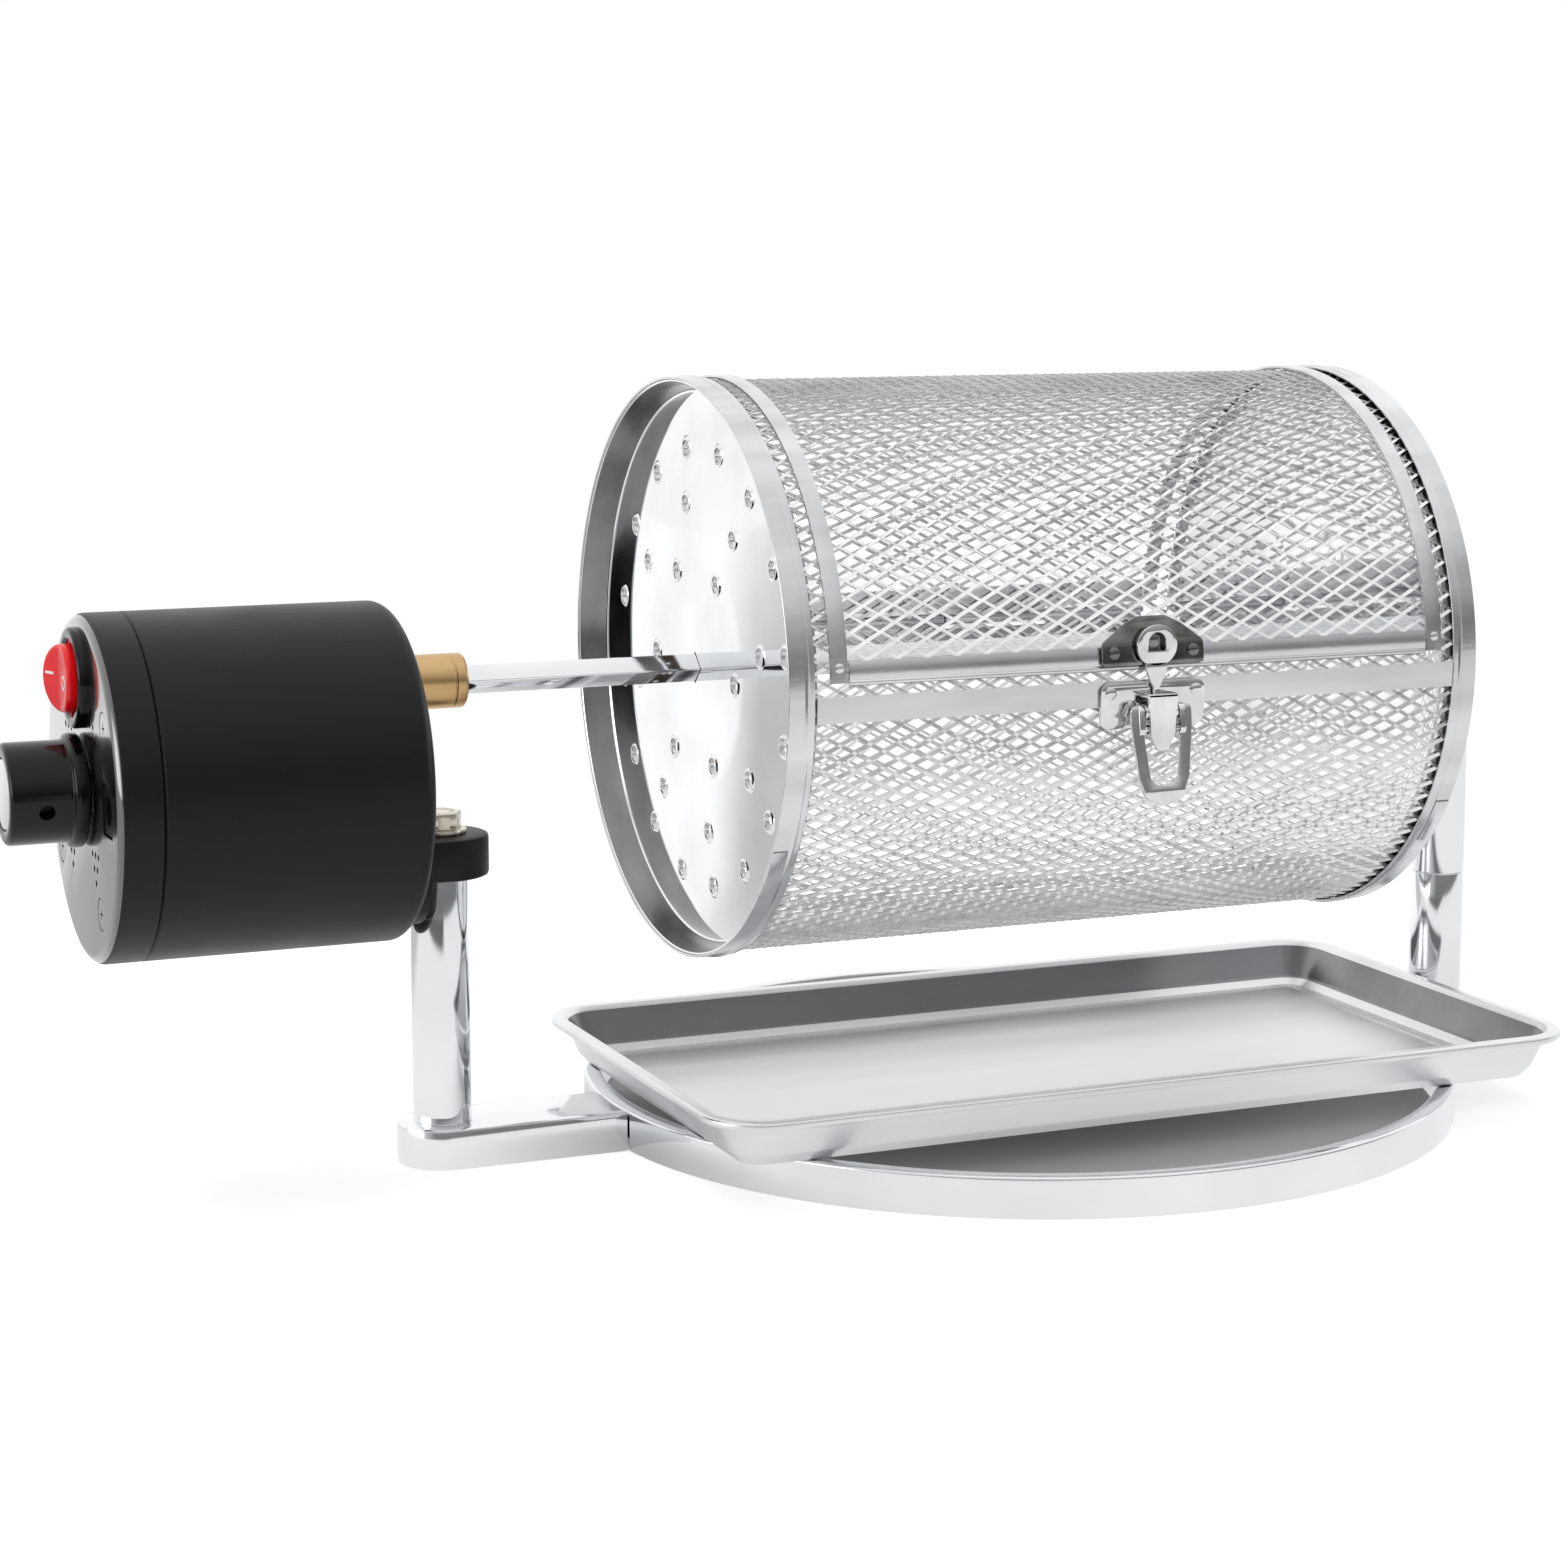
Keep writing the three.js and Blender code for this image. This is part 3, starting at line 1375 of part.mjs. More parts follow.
function latchCatch() {
  const halfOutline = [
    [catchHalfWidth, catchBottom],
    [catchHalfWidth, catchSide],
    [catchShoulderX, catchShoulder],
    [catchPeakX, catchPeak],
  ];
  const mirrored = halfOutline.map(([x, z]) => [-x, z]).reverse();
  const plate = wrapped(outline([...halfOutline, ...mirrored]), latchInner, latchOuter);
  const rivets = rivetHeads([[-catchRivetX, catchRivetZ], [catchRivetX, catchRivetZ]]);
  const bumpShape = new THREE.Shape().absarc(0, catchBumpZ, catchBumpRadius, 0, turn, false);
  const bump = plateFront(bumpShape, latchInner, latchOuter, sidesHole / 2);
  piece(latchGroup, "latch_catch", join(plate, bump, ...rivets), chrome);
}

const pivotFront = latchOuter + pivotStandoff; // distance of the lever's pivot in front of the drum's axis
const linkFace = latchOuter + linkClear;

function latchBase() {
  const shape = roundedRectangle(-baseHalfWidth, baseHalfWidth, baseBottom, baseTop, baseCorner);
  const plate = wrapped(shape, latchInner, latchOuter);
  const ears = [-earOuter, earInner].map((x) => {
    const ear = new THREE.Shape();
    ear.moveTo(-latchInner - latchPlate / 2, pivotZ - lugRadius);
    ear.lineTo(-latchInner - latchPlate / 2, pivotZ + lugRadius);
    ear.absarc(-pivotFront, pivotZ, lugRadius, quarter, half + quarter, false);
    return plateX(ear, x, x + earOuter - earInner, sidesHole / 2);
  });
  const pin = rodX(latchPinRadius, -earOuter - lugWidth - 2 * fit, earOuter + lugWidth + 2 * fit,
    sidesTiny, -pivotFront, pivotZ);
  const rivets = rivetHeads([[-baseRivetX, baseRivetZ], [baseRivetX, baseRivetZ]]);
  piece(latchGroup, "latch_base", join(plate, ...ears, pin, ...rivets), chrome);
}

function leverShape() {
  const inner = leverLegOuter - leverLegWidth;
  const innerFoot = leverFootOuter - leverLegWidth;
  const barBottom = -leverLength - leverBar;
  return outline([
    [-leverLegOuter, leverTop],
    [-leverFootOuter, -leverLength],
    [-leverFootOuter, barBottom],
    [-leverLipHalf, barBottom - leverLip],
    [leverLipHalf, barBottom - leverLip],
    [leverFootOuter, barBottom],
    [leverFootOuter, -leverLength],
    [leverLegOuter, leverTop],
    [inner, leverTop],
    [innerFoot, -leverLength],
    [-innerFoot, -leverLength],
    [-inner, leverTop],
  ]);
}

function latchLever() {
  const tilted = group(latchGroup, 0, -pivotFront, pivotZ);
  tilted.rotation.x = -radians(leverTilt);
  const frame = plateFront(leverShape(), leverOffset, leverOffset + leverThickness);
  const inner = earOuter + fit;
  const lugs = [-inner - lugWidth, inner].map((x) => {
    const lug = new THREE.Shape();
    lug.absarc(0, 0, lugRadius, 0, half, false);
    lug.absarc(0, -linkArm, lugRadius, half, turn, false);
    return plateX(lug, x, x + lugWidth, sidesHole / 2);
  });
  const pivotHole = rodX(latchPinRadius + fit, -leverLegOuter - overrun, leverLegOuter + overrun, sidesTiny);
  const linkPin = rodX(latchPinRadius, -inner - lugWidth / 2, inner + lugWidth / 2, sidesTiny, 0, -linkArm);
  piece(tilted, "latch_lever", join(cut(join(frame, ...lugs), pivotHole), linkPin), chrome);
}

function latchLink() {
  const tilt = radians(leverTilt);
  const pinFront = pivotFront + linkArm * Math.sin(tilt);
  const pinZ = pivotZ - linkArm * Math.cos(tilt);
  const tailFace = linkFace + linkTailOffset;
  const tailOuter = tailFace + linkPlate;

  const head = new THREE.Shape();
  const headZ = (linkHeadTop + linkHeadBottom) / 2;
  head.absellipse(0, headZ, linkHeadX, (linkHeadTop - linkHeadBottom) / 2, 0, turn, false, 0);
  const window = new THREE.Path();
  window.moveTo(-linkWindowX, linkWindowBottom);
  window.lineTo(linkWindowX, linkWindowBottom);
  window.absarc(0, linkWindowTop - linkWindowX, linkWindowX, 0, half, false);
  head.holes.push(window);
  const eye = plateFront(head, linkFace, linkFace + linkPlate, sidesTiny);
  const neck = block(-linkNeckX, linkNeckX, -linkFace - linkPlate, -linkFace,
    linkStepZ - linkStep / 2, linkHeadBottom + linkWindowX / 2);
  const step = block(
    -linkNeckX, linkNeckX, -tailOuter, -linkFace, linkStepZ - linkStep / 2, linkStepZ + linkStep / 2);
  const tailShape = roundedRectangle(-linkTailX, linkTailX, linkTailBottom, linkStepZ + linkStep / 2,
    linkTailCorner, linkStep / 2);
  const tail = plateFront(tailShape, tailFace, tailOuter, sidesHole / 2);
  const knuckle = rodX(lugRadius, -linkTailX, linkTailX, sidesTiny, -pinFront, pinZ);
  const bore = rodX(latchPinRadius + fit, -linkTailX - overrun, linkTailX + overrun, sidesTiny, -pinFront, pinZ);
  piece(latchGroup, "latch_link", cut(join(eye, neck, step, tail, knuckle), bore), chrome);
}

// Tray

// A round-cornered pan: each profile entry is [distance inside the rim's outline, height]
function roundedPan(profile, length, width, corner) {
  const places = [];
  const rings = profile.map(([inset, height]) => {
    const first = places.length / 3;
    const radius = corner - inset;
    const centres = [[1, 1, 0], [-1, 1, quarter], [-1, -1, half], [1, -1, half + quarter]];
    centres.forEach(([sideX, sideY, start]) => {
      for (let i = 0; i <= cornerSteps; i += 1) {
        const angle = start + (i * quarter) / cornerSteps;
        places.push(sideX * (length / 2 - corner) + radius * Math.cos(angle));
        places.push(sideY * (width / 2 - corner) + radius * Math.sin(angle));
        places.push(height);
      }
    });
    return first;
  });
  const count = 4 * (cornerSteps + 1);
  const faces = [];
  for (let ring = 0; ring + 1 < rings.length; ring += 1) {
    for (let i = 0; i < count; i += 1) {
      const next = (i + 1) % count;
      const [a, b] = [rings[ring] + i, rings[ring] + next];
      const [c, d] = [rings[ring + 1] + i, rings[ring + 1] + next];
      faces.push(a, b, d, a, d, c);
    }
  }
  const ends = [[0, profile[0][1], false], [rings.length - 1, profile[profile.length - 1][1], true]];
  ends.forEach(([ring, height, flipped]) => {
    const centre = places.length / 3;
    places.push(0, 0, height);
    for (let i = 0; i < count; i += 1) {
      const [a, b] = [rings[ring] + i, rings[ring] + ((i + 1) % count)];
      faces.push(centre, flipped ? a : b, flipped ? b : a);
    }
  });
  const geometry = new THREE.BufferGeometry();
  geometry.setAttribute("position", new THREE.Float32BufferAttribute(places, 3));
  geometry.setIndex(faces);
  return geometry;
}

function collectingTray() {
  const wallTop = trayRim;
  const wallFoot = trayRim + trayDraft;
  const profile = [
    [wallFoot + trayFloorRadius, 0],
    [wallFoot, trayFloorRadius],
    [wallTop, trayHeight - traySheet],
    [traySheet, trayHeight - traySheet],
    [traySheet, trayHeight - trayRimDrop],
    [0, trayHeight - trayRimDrop],
    [0, trayHeight],
    [wallTop + traySheet, trayHeight],
    [wallFoot + traySheet, trayFloorRadius + traySheet / 2],
    [wallFoot + trayFloorRadius + traySheet, traySheet],
  ];
  piece(trayGroup, "collecting_tray", roundedPan(profile, trayLength, trayWidth, trayCorner), satin);
}

// Build

baseRing();
arm("drive_arm", drivePostX);
arm("far_arm", farPostX);
footScrew("drive_post_screw", drivePostX);
footScrew("far_post_screw", farPostX);
drivePost();
farPost();
farFork();
motorBracket();
bracketBolt();
bracketScrew("bracket_screw_1", -plateScrewY);
bracketScrew("bracket_screw_2", plateScrewY);
motorHousing();
housingCap();
capScrewAngles.forEach((angle, index) => capScrew(`cap_screw_${index + 1}`, angle));
controlKnob();
potentiometer();
speedBoard();
rockerSwitch();
dcJack();
gearboxCase();
gearboxCover();
idler("idler_gear_1", idler1Place, 2, 1, motorPlace, idler2Place);
idler("idler_gear_2", idler2Place, 1, 0, idler1Place, outputPlace);
outputTrain();
motor();
brassCoupling();
spit();
endHoop("left_end_hoop", -1);
endHoop("right_end_hoop", 1);
endPlate("left_end_plate", -1);
endPlate("right_end_plate", 1);
drumBody();
hingeLeaf("body_back_hinge", 0, -1);
hingeLeaf("door_back_hinge", 1, 1);
hingePin();
door();
latchCatch();
latchBase();
latchLever();
latchLink();
collectingTray();

export default roaster;
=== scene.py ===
"""Drum coffee roaster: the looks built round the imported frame. Lengths here are millimetres."""

import math

import bmesh
import bpy
from mathutils import Matrix, Vector


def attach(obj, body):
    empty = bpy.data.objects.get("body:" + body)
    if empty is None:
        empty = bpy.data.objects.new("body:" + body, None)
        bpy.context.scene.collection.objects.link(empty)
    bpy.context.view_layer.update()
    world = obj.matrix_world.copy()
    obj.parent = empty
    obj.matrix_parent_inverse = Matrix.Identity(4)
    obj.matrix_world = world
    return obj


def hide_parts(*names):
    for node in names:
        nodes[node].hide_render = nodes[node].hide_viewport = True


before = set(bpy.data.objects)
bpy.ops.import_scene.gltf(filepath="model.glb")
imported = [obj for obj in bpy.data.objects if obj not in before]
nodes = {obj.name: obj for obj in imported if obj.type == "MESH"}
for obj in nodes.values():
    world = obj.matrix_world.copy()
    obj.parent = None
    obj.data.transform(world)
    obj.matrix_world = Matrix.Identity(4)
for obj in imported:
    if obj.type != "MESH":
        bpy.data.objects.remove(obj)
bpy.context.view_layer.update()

MM = 0.001
TURN = 2 * math.pi
SHARP = 35

# Places and sizes taken from the CAD

RING_X, RING_OUT, RING_IN, BAR, ARM_HALF = 58.65, 111.5, 107, 10, 11
POST_X, FAR_X, POST_R, POST_BORE = -95.85, 186.65, 7, 3.3
LUG_LOW, LUG_TOP, LUG_HALF = 70, 80, 12
FACE_X, OPEN_X, CAP_X, KNOB_X = -107.35, -169.35, -179.65, -197.65
HOUSING_R, KNOB_R, FLANGE_R = 40, 11.7, 13
AXIS_Z, DRUM_Z = 95.8, 116.2
SWITCH_Z = AXIS_Z + 25.6
JACK_Y, JACK_Z = -27.7, 95
SPIT, SPIT_HOLE = 5, 5.6
LEFT, RIGHT, MESH_R = -35.35, 147.65, 69.4
STRIP_IN, STRIP_OUT = 69.7, 70.5
HINGE_Y = 72.2
LATCH_X, LATCH_IN, LATCH_OUT = 56.85, 70.8, 71.7
PIVOT_Y, PIVOT_Z = -74.2, DRUM_Z - 6
TRAY_X, TRAY_Y, TRAY_Z = RING_X + 3.5, -13, 10.3


# Colour and materials


def tone(red, green=None, blue=None):
    """A colour given from 0 to 255, as linear light."""
    green = red if green is None else green
    blue = red if blue is None else blue
    parts = [value / 255 for value in (red, green, blue)]
    parts = [p / 12.92 if p <= 0.04045 else ((p + 0.055) / 1.055) ** 2.4 for p in parts]
    return (*parts, 1)


def grey(value):
    return (value, value, value, 1)


def add(tree, kind, inputs):
    """A new shader node, with a value or another node's output for each input."""
    made = tree.nodes.new("ShaderNode" + kind)
    for key, value in inputs.items():
        if isinstance(value, bpy.types.NodeSocket):
            tree.links.new(value, made.inputs[key])
        else:
            made.inputs[key].default_value = value
    return made


def finish(
    name,
    dark,
    light,
    metal=0,
    rough=(0.3, 0.4),
    scale=60,
    stretch=(1, 1, 1),
    bump=0,
    bump_scale=1500,
    coat=0,
    specular=0.5,
):
    """A procedural finish: two tones and two roughnesses mixed by noise, and a fine bump."""
    low, high = 0.3, 0.7
    material = bpy.data.materials.new(name)
    material.use_nodes = True
    tree = material.node_tree
    surface = tree.nodes["Principled BSDF"].inputs
    surface["Metallic"].default_value = metal
    surface["Coat Weight"].default_value = coat
    surface["Coat Roughness"].default_value = 0.08
    surface["Specular IOR Level"].default_value = specular
    spot = add(tree, "TexCoord", {}).outputs["Object"]
    grain = add(tree, "Mapping", {"Vector": spot, "Scale": stretch}).outputs["Vector"]
    noise = add(tree, "TexNoise", {"Vector": grain, "Scale": scale, "Detail": 4}).outputs["Fac"]
    ramp = add(tree, "ValToRGB", {"Fac": noise})
    for stop, position, colour in zip(ramp.color_ramp.elements, (low, high), (dark, light)):
        stop.position = position
        stop.color = colour
    tree.links.new(ramp.outputs["Color"], surface["Base Color"])
    spread = add(tree, "MapRange", {
        "Value": noise, "From Min": low, "From Max": high, "To Min": rough[0], "To Max": rough[1]})
    tree.links.new(spread.outputs["Result"], surface["Roughness"])
    if bump > 0:
        fine = add(tree, "TexNoise", {"Vector": grain, "Scale": bump_scale, "Detail": 2})
        relief = add(tree, "Bump", {"Height": fine.outputs["Fac"], "Strength": bump, "Distance": 0.0002})
        tree.links.new(relief.outputs["Normal"], surface["Normal"])
    return material


# Each finish: dark and light tone, metallic, roughness span, noise scale and its stretch along X, Y, Z

chrome = finish("chrome", tone(226, 228, 230), tone(240, 241, 243), 1, (0.05, 0.09), 25)
polished = finish("polished_sheet", tone(222, 224, 226), tone(242, 243, 244), 1, (0.02, 0.05), 40)
drum_sheet = finish(
    "drum_sheet", tone(200, 201, 203), tone(232, 233, 235), 1, (0.14, 0.26), 90, (0.2, 1, 1),
    bump=0.08, bump_scale=900)
strand = finish(
    "expanded_metal", tone(226, 226, 227), tone(252, 252, 252), 0.72, (0.2, 0.34), 160,
    bump=0.2, bump_scale=700)
# A darker copy of the drum sheet for the end plates' flange walls: painted shade in the recess behind
# the hoops.
flange_painted_shade = finish(
    "flange_wall_painted_shade", tone(118, 118, 119), tone(150, 150, 151), 1, (0.14, 0.26), 90, (1, 0.4, 0.4),
    bump=0.08, bump_scale=900)
latch_steel = finish(
    "latch_steel", tone(212, 212, 213), tone(238, 238, 239), 1, (0.06, 0.13), 120,
    bump=0.03, bump_scale=900)
# A darker copy of the latch steel for the catch plate: a painted dark reflection.
catch_painted_dark_reflection = finish(
    "catch_painted_dark_reflection", tone(96, 95, 94), tone(152, 151, 149), 1, (0.07, 0.15), 140,
    bump=0.05, bump_scale=700)
zinc = finish(
    "zinc", tone(186, 178, 160), tone(232, 226, 214), 1, (0.18, 0.34), 260,
    bump=0.1, bump_scale=1200)
steel = finish("plain_steel", tone(160, 163, 166), tone(200, 202, 204), 1, (0.28, 0.4), 120, bump=0.1)
satin = finish(
    "tray_aluminium", tone(218, 219, 220), tone(238, 239, 240), 1, (0.27, 0.36), 40, (0.15, 1, 1),
    bump=0.1, bump_scale=900)
# A darker copy of the tray aluminium for the inside of its walls: painted shade and a painted dark
# reflection.
tray_wall_painted_shade = finish(
    "tray_inner_wall_painted_shade", tone(120, 121, 123), tone(148, 149, 151), 1, (0.24, 0.32), 40, (0.15, 1, 1),
    bump=0.1, bump_scale=900)
silver = finish(
    "knob_silver", tone(222, 223, 225), tone(246, 246, 247), 1, (0.2, 0.3), 80, (1, 0.2, 1),
    bump=0.04, bump_scale=1400)
brass = finish(
    "brass", tone(184, 146, 96), tone(210, 176, 128), 1, (0.2, 0.32), 90, (0.3, 1, 1),
    bump=0.06, bump_scale=900)
paint = finish(
    "black_paint", tone(5), tone(10), 0, (0.38, 0.48), 50, bump=0.2, bump_scale=1600, specular=0.3)
moulded = finish(
    "black_plastic", tone(5), tone(10), 0, (0.36, 0.46), 60, bump=0.12, bump_scale=1400, specular=0.3)
cap_face = finish(
    "black_plastic_smooth", tone(14), tone(20), 0, (0.16, 0.24), 60,
    bump=0.03, bump_scale=1400, coat=1)
cap_face.node_tree.nodes["Principled BSDF"].inputs["Coat IOR"].default_value = 2.1
glossy = finish("black_gloss", tone(6), tone(11), 0, (0.1, 0.17), 70, specular=0.3)
screw_black = finish("black_screw", tone(24), tone(42), 0.6, (0.3, 0.42), 200, bump=0.1)
red = finish("red_plastic", tone(228, 8, 18), tone(244, 16, 28), 0, (0.16, 0.26), 70, specular=0.45)
white_mark = finish("mark_white", tone(236), tone(248), 0, (0.3, 0.4), 200)
nylon = finish("nylon", tone(214, 210, 198), tone(234, 231, 222), 0, (0.4, 0.55), 120, bump=0.1)
bronze = finish("bronze", tone(126, 84, 48), tone(168, 118, 72), 1, (0.35, 0.5), 220, bump=0.2)
board_green = finish(
    "circuit_board", tone(20, 74, 42), tone(36, 110, 62), 0, (0.35, 0.5), 300, bump=0.15)


# Mesh helpers


def show(name, mesh, sharp):
    """The mesh as an object of the scene, smooth between its sharp edges."""
    mesh.shade_smooth()
    mesh.set_sharp_from_angle(angle=math.radians(sharp))
    piece = bpy.data.objects.new(name, mesh)
    bpy.context.scene.collection.objects.link(piece)
    return piece


def settle(name, mesh, sharp=SHARP):
    """The mesh as an object, its doubled points merged and its faces turned outward."""
    work = bmesh.new()
    work.from_mesh(mesh)
    bmesh.ops.remove_doubles(work, verts=work.verts, dist=1e-6)
    bmesh.ops.recalc_face_normals(work, faces=work.faces)
    work.to_mesh(mesh)
    work.free()
    return show(name, mesh, sharp)


def build(name, points, faces, sharp=SHARP):
    """An object from points in millimetres."""
    mesh = bpy.data.meshes.new(name)
    mesh.from_pydata([(x * MM, y * MM, z * MM) for x, y, z in points], [], faces)
    return settle(name, mesh, sharp)


def fuse(name, *pieces, sharp=SHARP):
    """Several objects as one."""
    work = bmesh.new()
    for piece in pieces:
        work.from_mesh(piece.data)
        bpy.data.objects.remove(piece)
    mesh = bpy.data.meshes.new(name)
    work.to_mesh(mesh)
    work.free()
    return show(name, mesh, sharp)


def carve(piece, *cutters, sharp=SHARP):
    """The piece with the cutters' room taken out of it."""
    for cutter in cutters:
        step = piece.modifiers.new("carve", "BOOLEAN")
        step.operation = "DIFFERENCE"
        step.solver = "EXACT"
        step.object = cutter
    bpy.context.view_layer.update()
    shaped = piece.evaluated_get(bpy.context.evaluated_depsgraph_get())
    mesh = bpy.data.meshes.new_from_object(shaped)
    piece.modifiers.clear()
    piece.data = mesh
    for cutter in cutters:
        bpy.data.objects.remove(cutter)
    mesh.shade_smooth()
    mesh.set_sharp_from_angle(angle=math.radians(sharp))
    return piece


def turned(piece, spot, *angles):
    """The piece turned about X by each angle in degrees, then moved to a spot."""
    for angle in angles:
        piece.data.transform(Matrix.Rotation(math.radians(angle), 4, "X"))
    piece.data.transform(Matrix.Translation(Vector(spot) * MM))
    return piece


def place(piece, body, material, *replaced, slot, second=None, where=None):
    """Gives the piece its finishes and its body, and hides the CAD nodes that it stands for."""
    piece.data.materials.clear()
    piece.data.materials.append(material)
    if second:
        piece.data.materials.append(second)
        for face in piece.data.polygons:
            face.material_index = 1 if where(face.center / MM, face.normal) else 0
    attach(piece, body)
    if replaced:
        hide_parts(*replaced)


def soften(points, radius, steps=4, closed=True):
    """A polyline with rounded corners; a point's third number is its own radius."""
    made = []
    count = len(points)
    for i, point in enumerate(points):
        size = point[2] if len(point) > 2 else radius
        here = Vector(point[:2])
        if size <= 0 or (not closed and i in (0, count - 1)):
            made.append(tuple(here))
            continue
        back = Vector(points[i - 1][:2]) - here
        on = Vector(points[(i + 1) % count][:2]) - here
        room = min(back.length, on.length) * 0.49
        back.normalize()
        on.normalize()
        angle = back.angle(on)
        if angle > math.pi - 0.02:
            made.append(tuple(here))
            continue
        reach = min(size / math.tan(angle / 2), room)
        size = reach * math.tan(angle / 2)
        centre = here + (back + on).normalized() * (size / math.sin(angle / 2))
        start = here + back * reach - centre
        end = here + on * reach - centre
        sweep = math.pi - angle
        side = 1 if start.x * end.y - start.y * end.x > 0 else -1
        for k in range(steps + 1):
            bend = Matrix.Rotation(side * sweep * k / steps, 2)
            made.append(tuple(centre + bend @ start))
    return made


def mirrored(half, steps):
    """A closed outline from its right half, with rounded corners."""
    return soften(half + [(-x, z, r) for x, z, r in reversed(half)], 0, steps)


def arc(x, y, radius, start, end, steps):
    """Points of an arc, with its angles in degrees."""
    span = [math.radians(start + (end - start) * k / steps) for k in range(steps + 1)]
    return [(x + radius * math.cos(a), y + radius * math.sin(a)) for a in span]


def lathe(name, profile, axis="X", at=(0, 0), steps=128, closed=False, sharp=SHARP):
    """A turned body: the profile is a list of (place along the axis, radius)."""
    points, faces, rings = [], [], []
    for along, radius in profile:
        ring = []
        for k in range(steps if radius > 1e-6 else 1):
            a = TURN * k / steps
            u, v = radius * math.cos(a), radius * math.sin(a)
            ring.append(len(points))
            if axis == "X":
                points.append((along, at[0] + u, at[1] + v))
            else:
                points.append((at[0] + u, at[1] + v, along))
        rings.append(ring)
    pairs = list(zip(rings, rings[1:]))
    if closed:
        pairs.append((rings[-1], rings[0]))
    for low, high in pairs:
        for k in range(steps):
            m = (k + 1) % steps
            corners = [low[k % len(low)], low[m % len(low)], high[m % len(high)], high[k % len(high)]]
            kept = [c for i, c in enumerate(corners) if c != corners[i - 1]]
            if len(kept) > 2:
                faces.append(kept)
    return build(name, points, faces, sharp)


def rod(name, radius, low, high, axis="X", at=(0, 0), edge=0.2, steps=48):
    profile = soften([(low, 0), (low, radius), (high, radius), (high, 0)], edge, 2, closed=False)
    return lathe(name, profile, axis, at, steps)


def sleeve(name, inner, outer, low, high, at, edge):
    """A short tube along X."""
    profile = soften([(low, inner), (low, outer), (high, outer), (high, inner)], edge, 2)
    return lathe(name, profile, "X", at, 32, closed=True)


def box(name, low, high):
    xs, ys, zs = zip(low, high)
    corners = [(x, y, z) for x in xs for y in ys for z in zs]
    sides = [(0, 1, 3, 2), (4, 6, 7, 5), (0, 4, 5, 1), (2, 3, 7, 6), (0, 2, 6, 4), (1, 5, 7, 3)]
    return build(name, corners, sides)


def rectangle(u0, u1, v0, v1, radius, steps):
    return soften([(u0, v0), (u1, v0), (u1, v1), (u0, v1)], radius, steps)


def plate(name, outline, low, high, put, holes=(), bevel=0.25, bends=()):
    """A plate with bevelled edges: put() takes its flat (u, v, height) to the frame."""
    curve = bpy.data.curves.new(name, "CURVE")
    curve.dimensions = "2D"
    curve.fill_mode = "BOTH"
    curve.extrude = (high - low) / 2 - bevel
    curve.bevel_depth = bevel
    curve.bevel_resolution = 1
    curve.offset = -bevel
    for loop in [outline, *holes]:
        spline = curve.splines.new("POLY")
        spline.points.add(len(loop) - 1)
        for point, (u, v) in zip(spline.points, loop):
            point.co = (u, v, 0, 1)
        spline.use_cyclic_u = True
    flat = bpy.data.objects.new(name, curve)
    mesh = bpy.data.meshes.new_from_object(flat)
    bpy.data.objects.remove(flat)
    work = bmesh.new()
    work.from_mesh(mesh)
    bmesh.ops.remove_doubles(work, verts=work.verts, dist=1e-3)
    for axis, value in bends:
        normal = (1, 0, 0) if axis == "u" else (0, 1, 0)
        spot = (value, 0, 0) if axis == "u" else (0, value, 0)
        everything = [*work.verts, *work.edges, *work.faces]
        bmesh.ops.bisect_plane(work, geom=everything, plane_co=spot, plane_no=normal)
    middle = (low + high) / 2
    for vertex in work.verts:
        u, v, w = vertex.co
        vertex.co = Vector(put(u, v, w + middle)) * MM
    work.to_mesh(mesh)
    work.free()
    return settle(name, mesh)


def flat_z(u, v, w):
    return u, v, w


def flat_x(u, v, w):
    return w, u, v


def front(u, v, w):
    """(x from the latch's middle, z from the drum's axis, distance in front of it)."""
    return LATCH_X + u, -w, DRUM_Z + v


def wrapped(u, v, w):
    """As front, but pressed to the drum's curve."""
    a = math.asin(max(-1, min(1, v / LATCH_OUT)))
    return LATCH_X + u, -w * math.cos(a), DRUM_Z + w * math.sin(a)


def on_drum(x, angle, radius):
    """A point round the drum's axis, its angle in degrees from the top towards the front."""
    a = math.radians(angle)
    return x, -radius * math.sin(a), DRUM_Z + radius * math.cos(a)


def bent(name, inner, outer, start, end, x0, x1, steps, roll=0, crown=0):
    """A thin sheet bent round the drum: roll makes its last edge a bead, crown sinks both its edges."""
    across = rectangle(x0, x1, inner, outer, 0.2, 2)
    points, faces = [], []
    for k in range(steps + 1):
        angle = start + (end - start) * k / steps
        sink = crown * (2 * k / steps - 1) ** 2
        points += [on_drum(x, angle, radius - sink) for x, radius in across]
    count = len(across)
    for k in range(steps):
        for i in range(count):
            a, b = k * count + i, k * count + (i + 1) % count
            faces.append([a, b, b + count, a + count])
    faces.append(list(range(count)))
    faces.append([steps * count + i for i in reversed(range(count))])
    sheet = build(name, points, faces)
    if roll:
        x, y, z = on_drum(0, end, (inner + outer) / 2)
        sheet = fuse(name, sheet, rod(name + "_roll", roll, x0, x1, "X", (y, z), 0.2, 20))
    return sheet


# Base: the flat-bar ring, its arms and the posts

profile = soften([(0, RING_IN), (0, RING_OUT), (BAR, RING_OUT), (BAR, RING_IN)], 0.7, 3)
ring = lathe("base_ring_bar", profile, "Z", (RING_X, 0), 256, closed=True)
place(ring, "base", chrome, "base_ring", slot="chromed_bar")


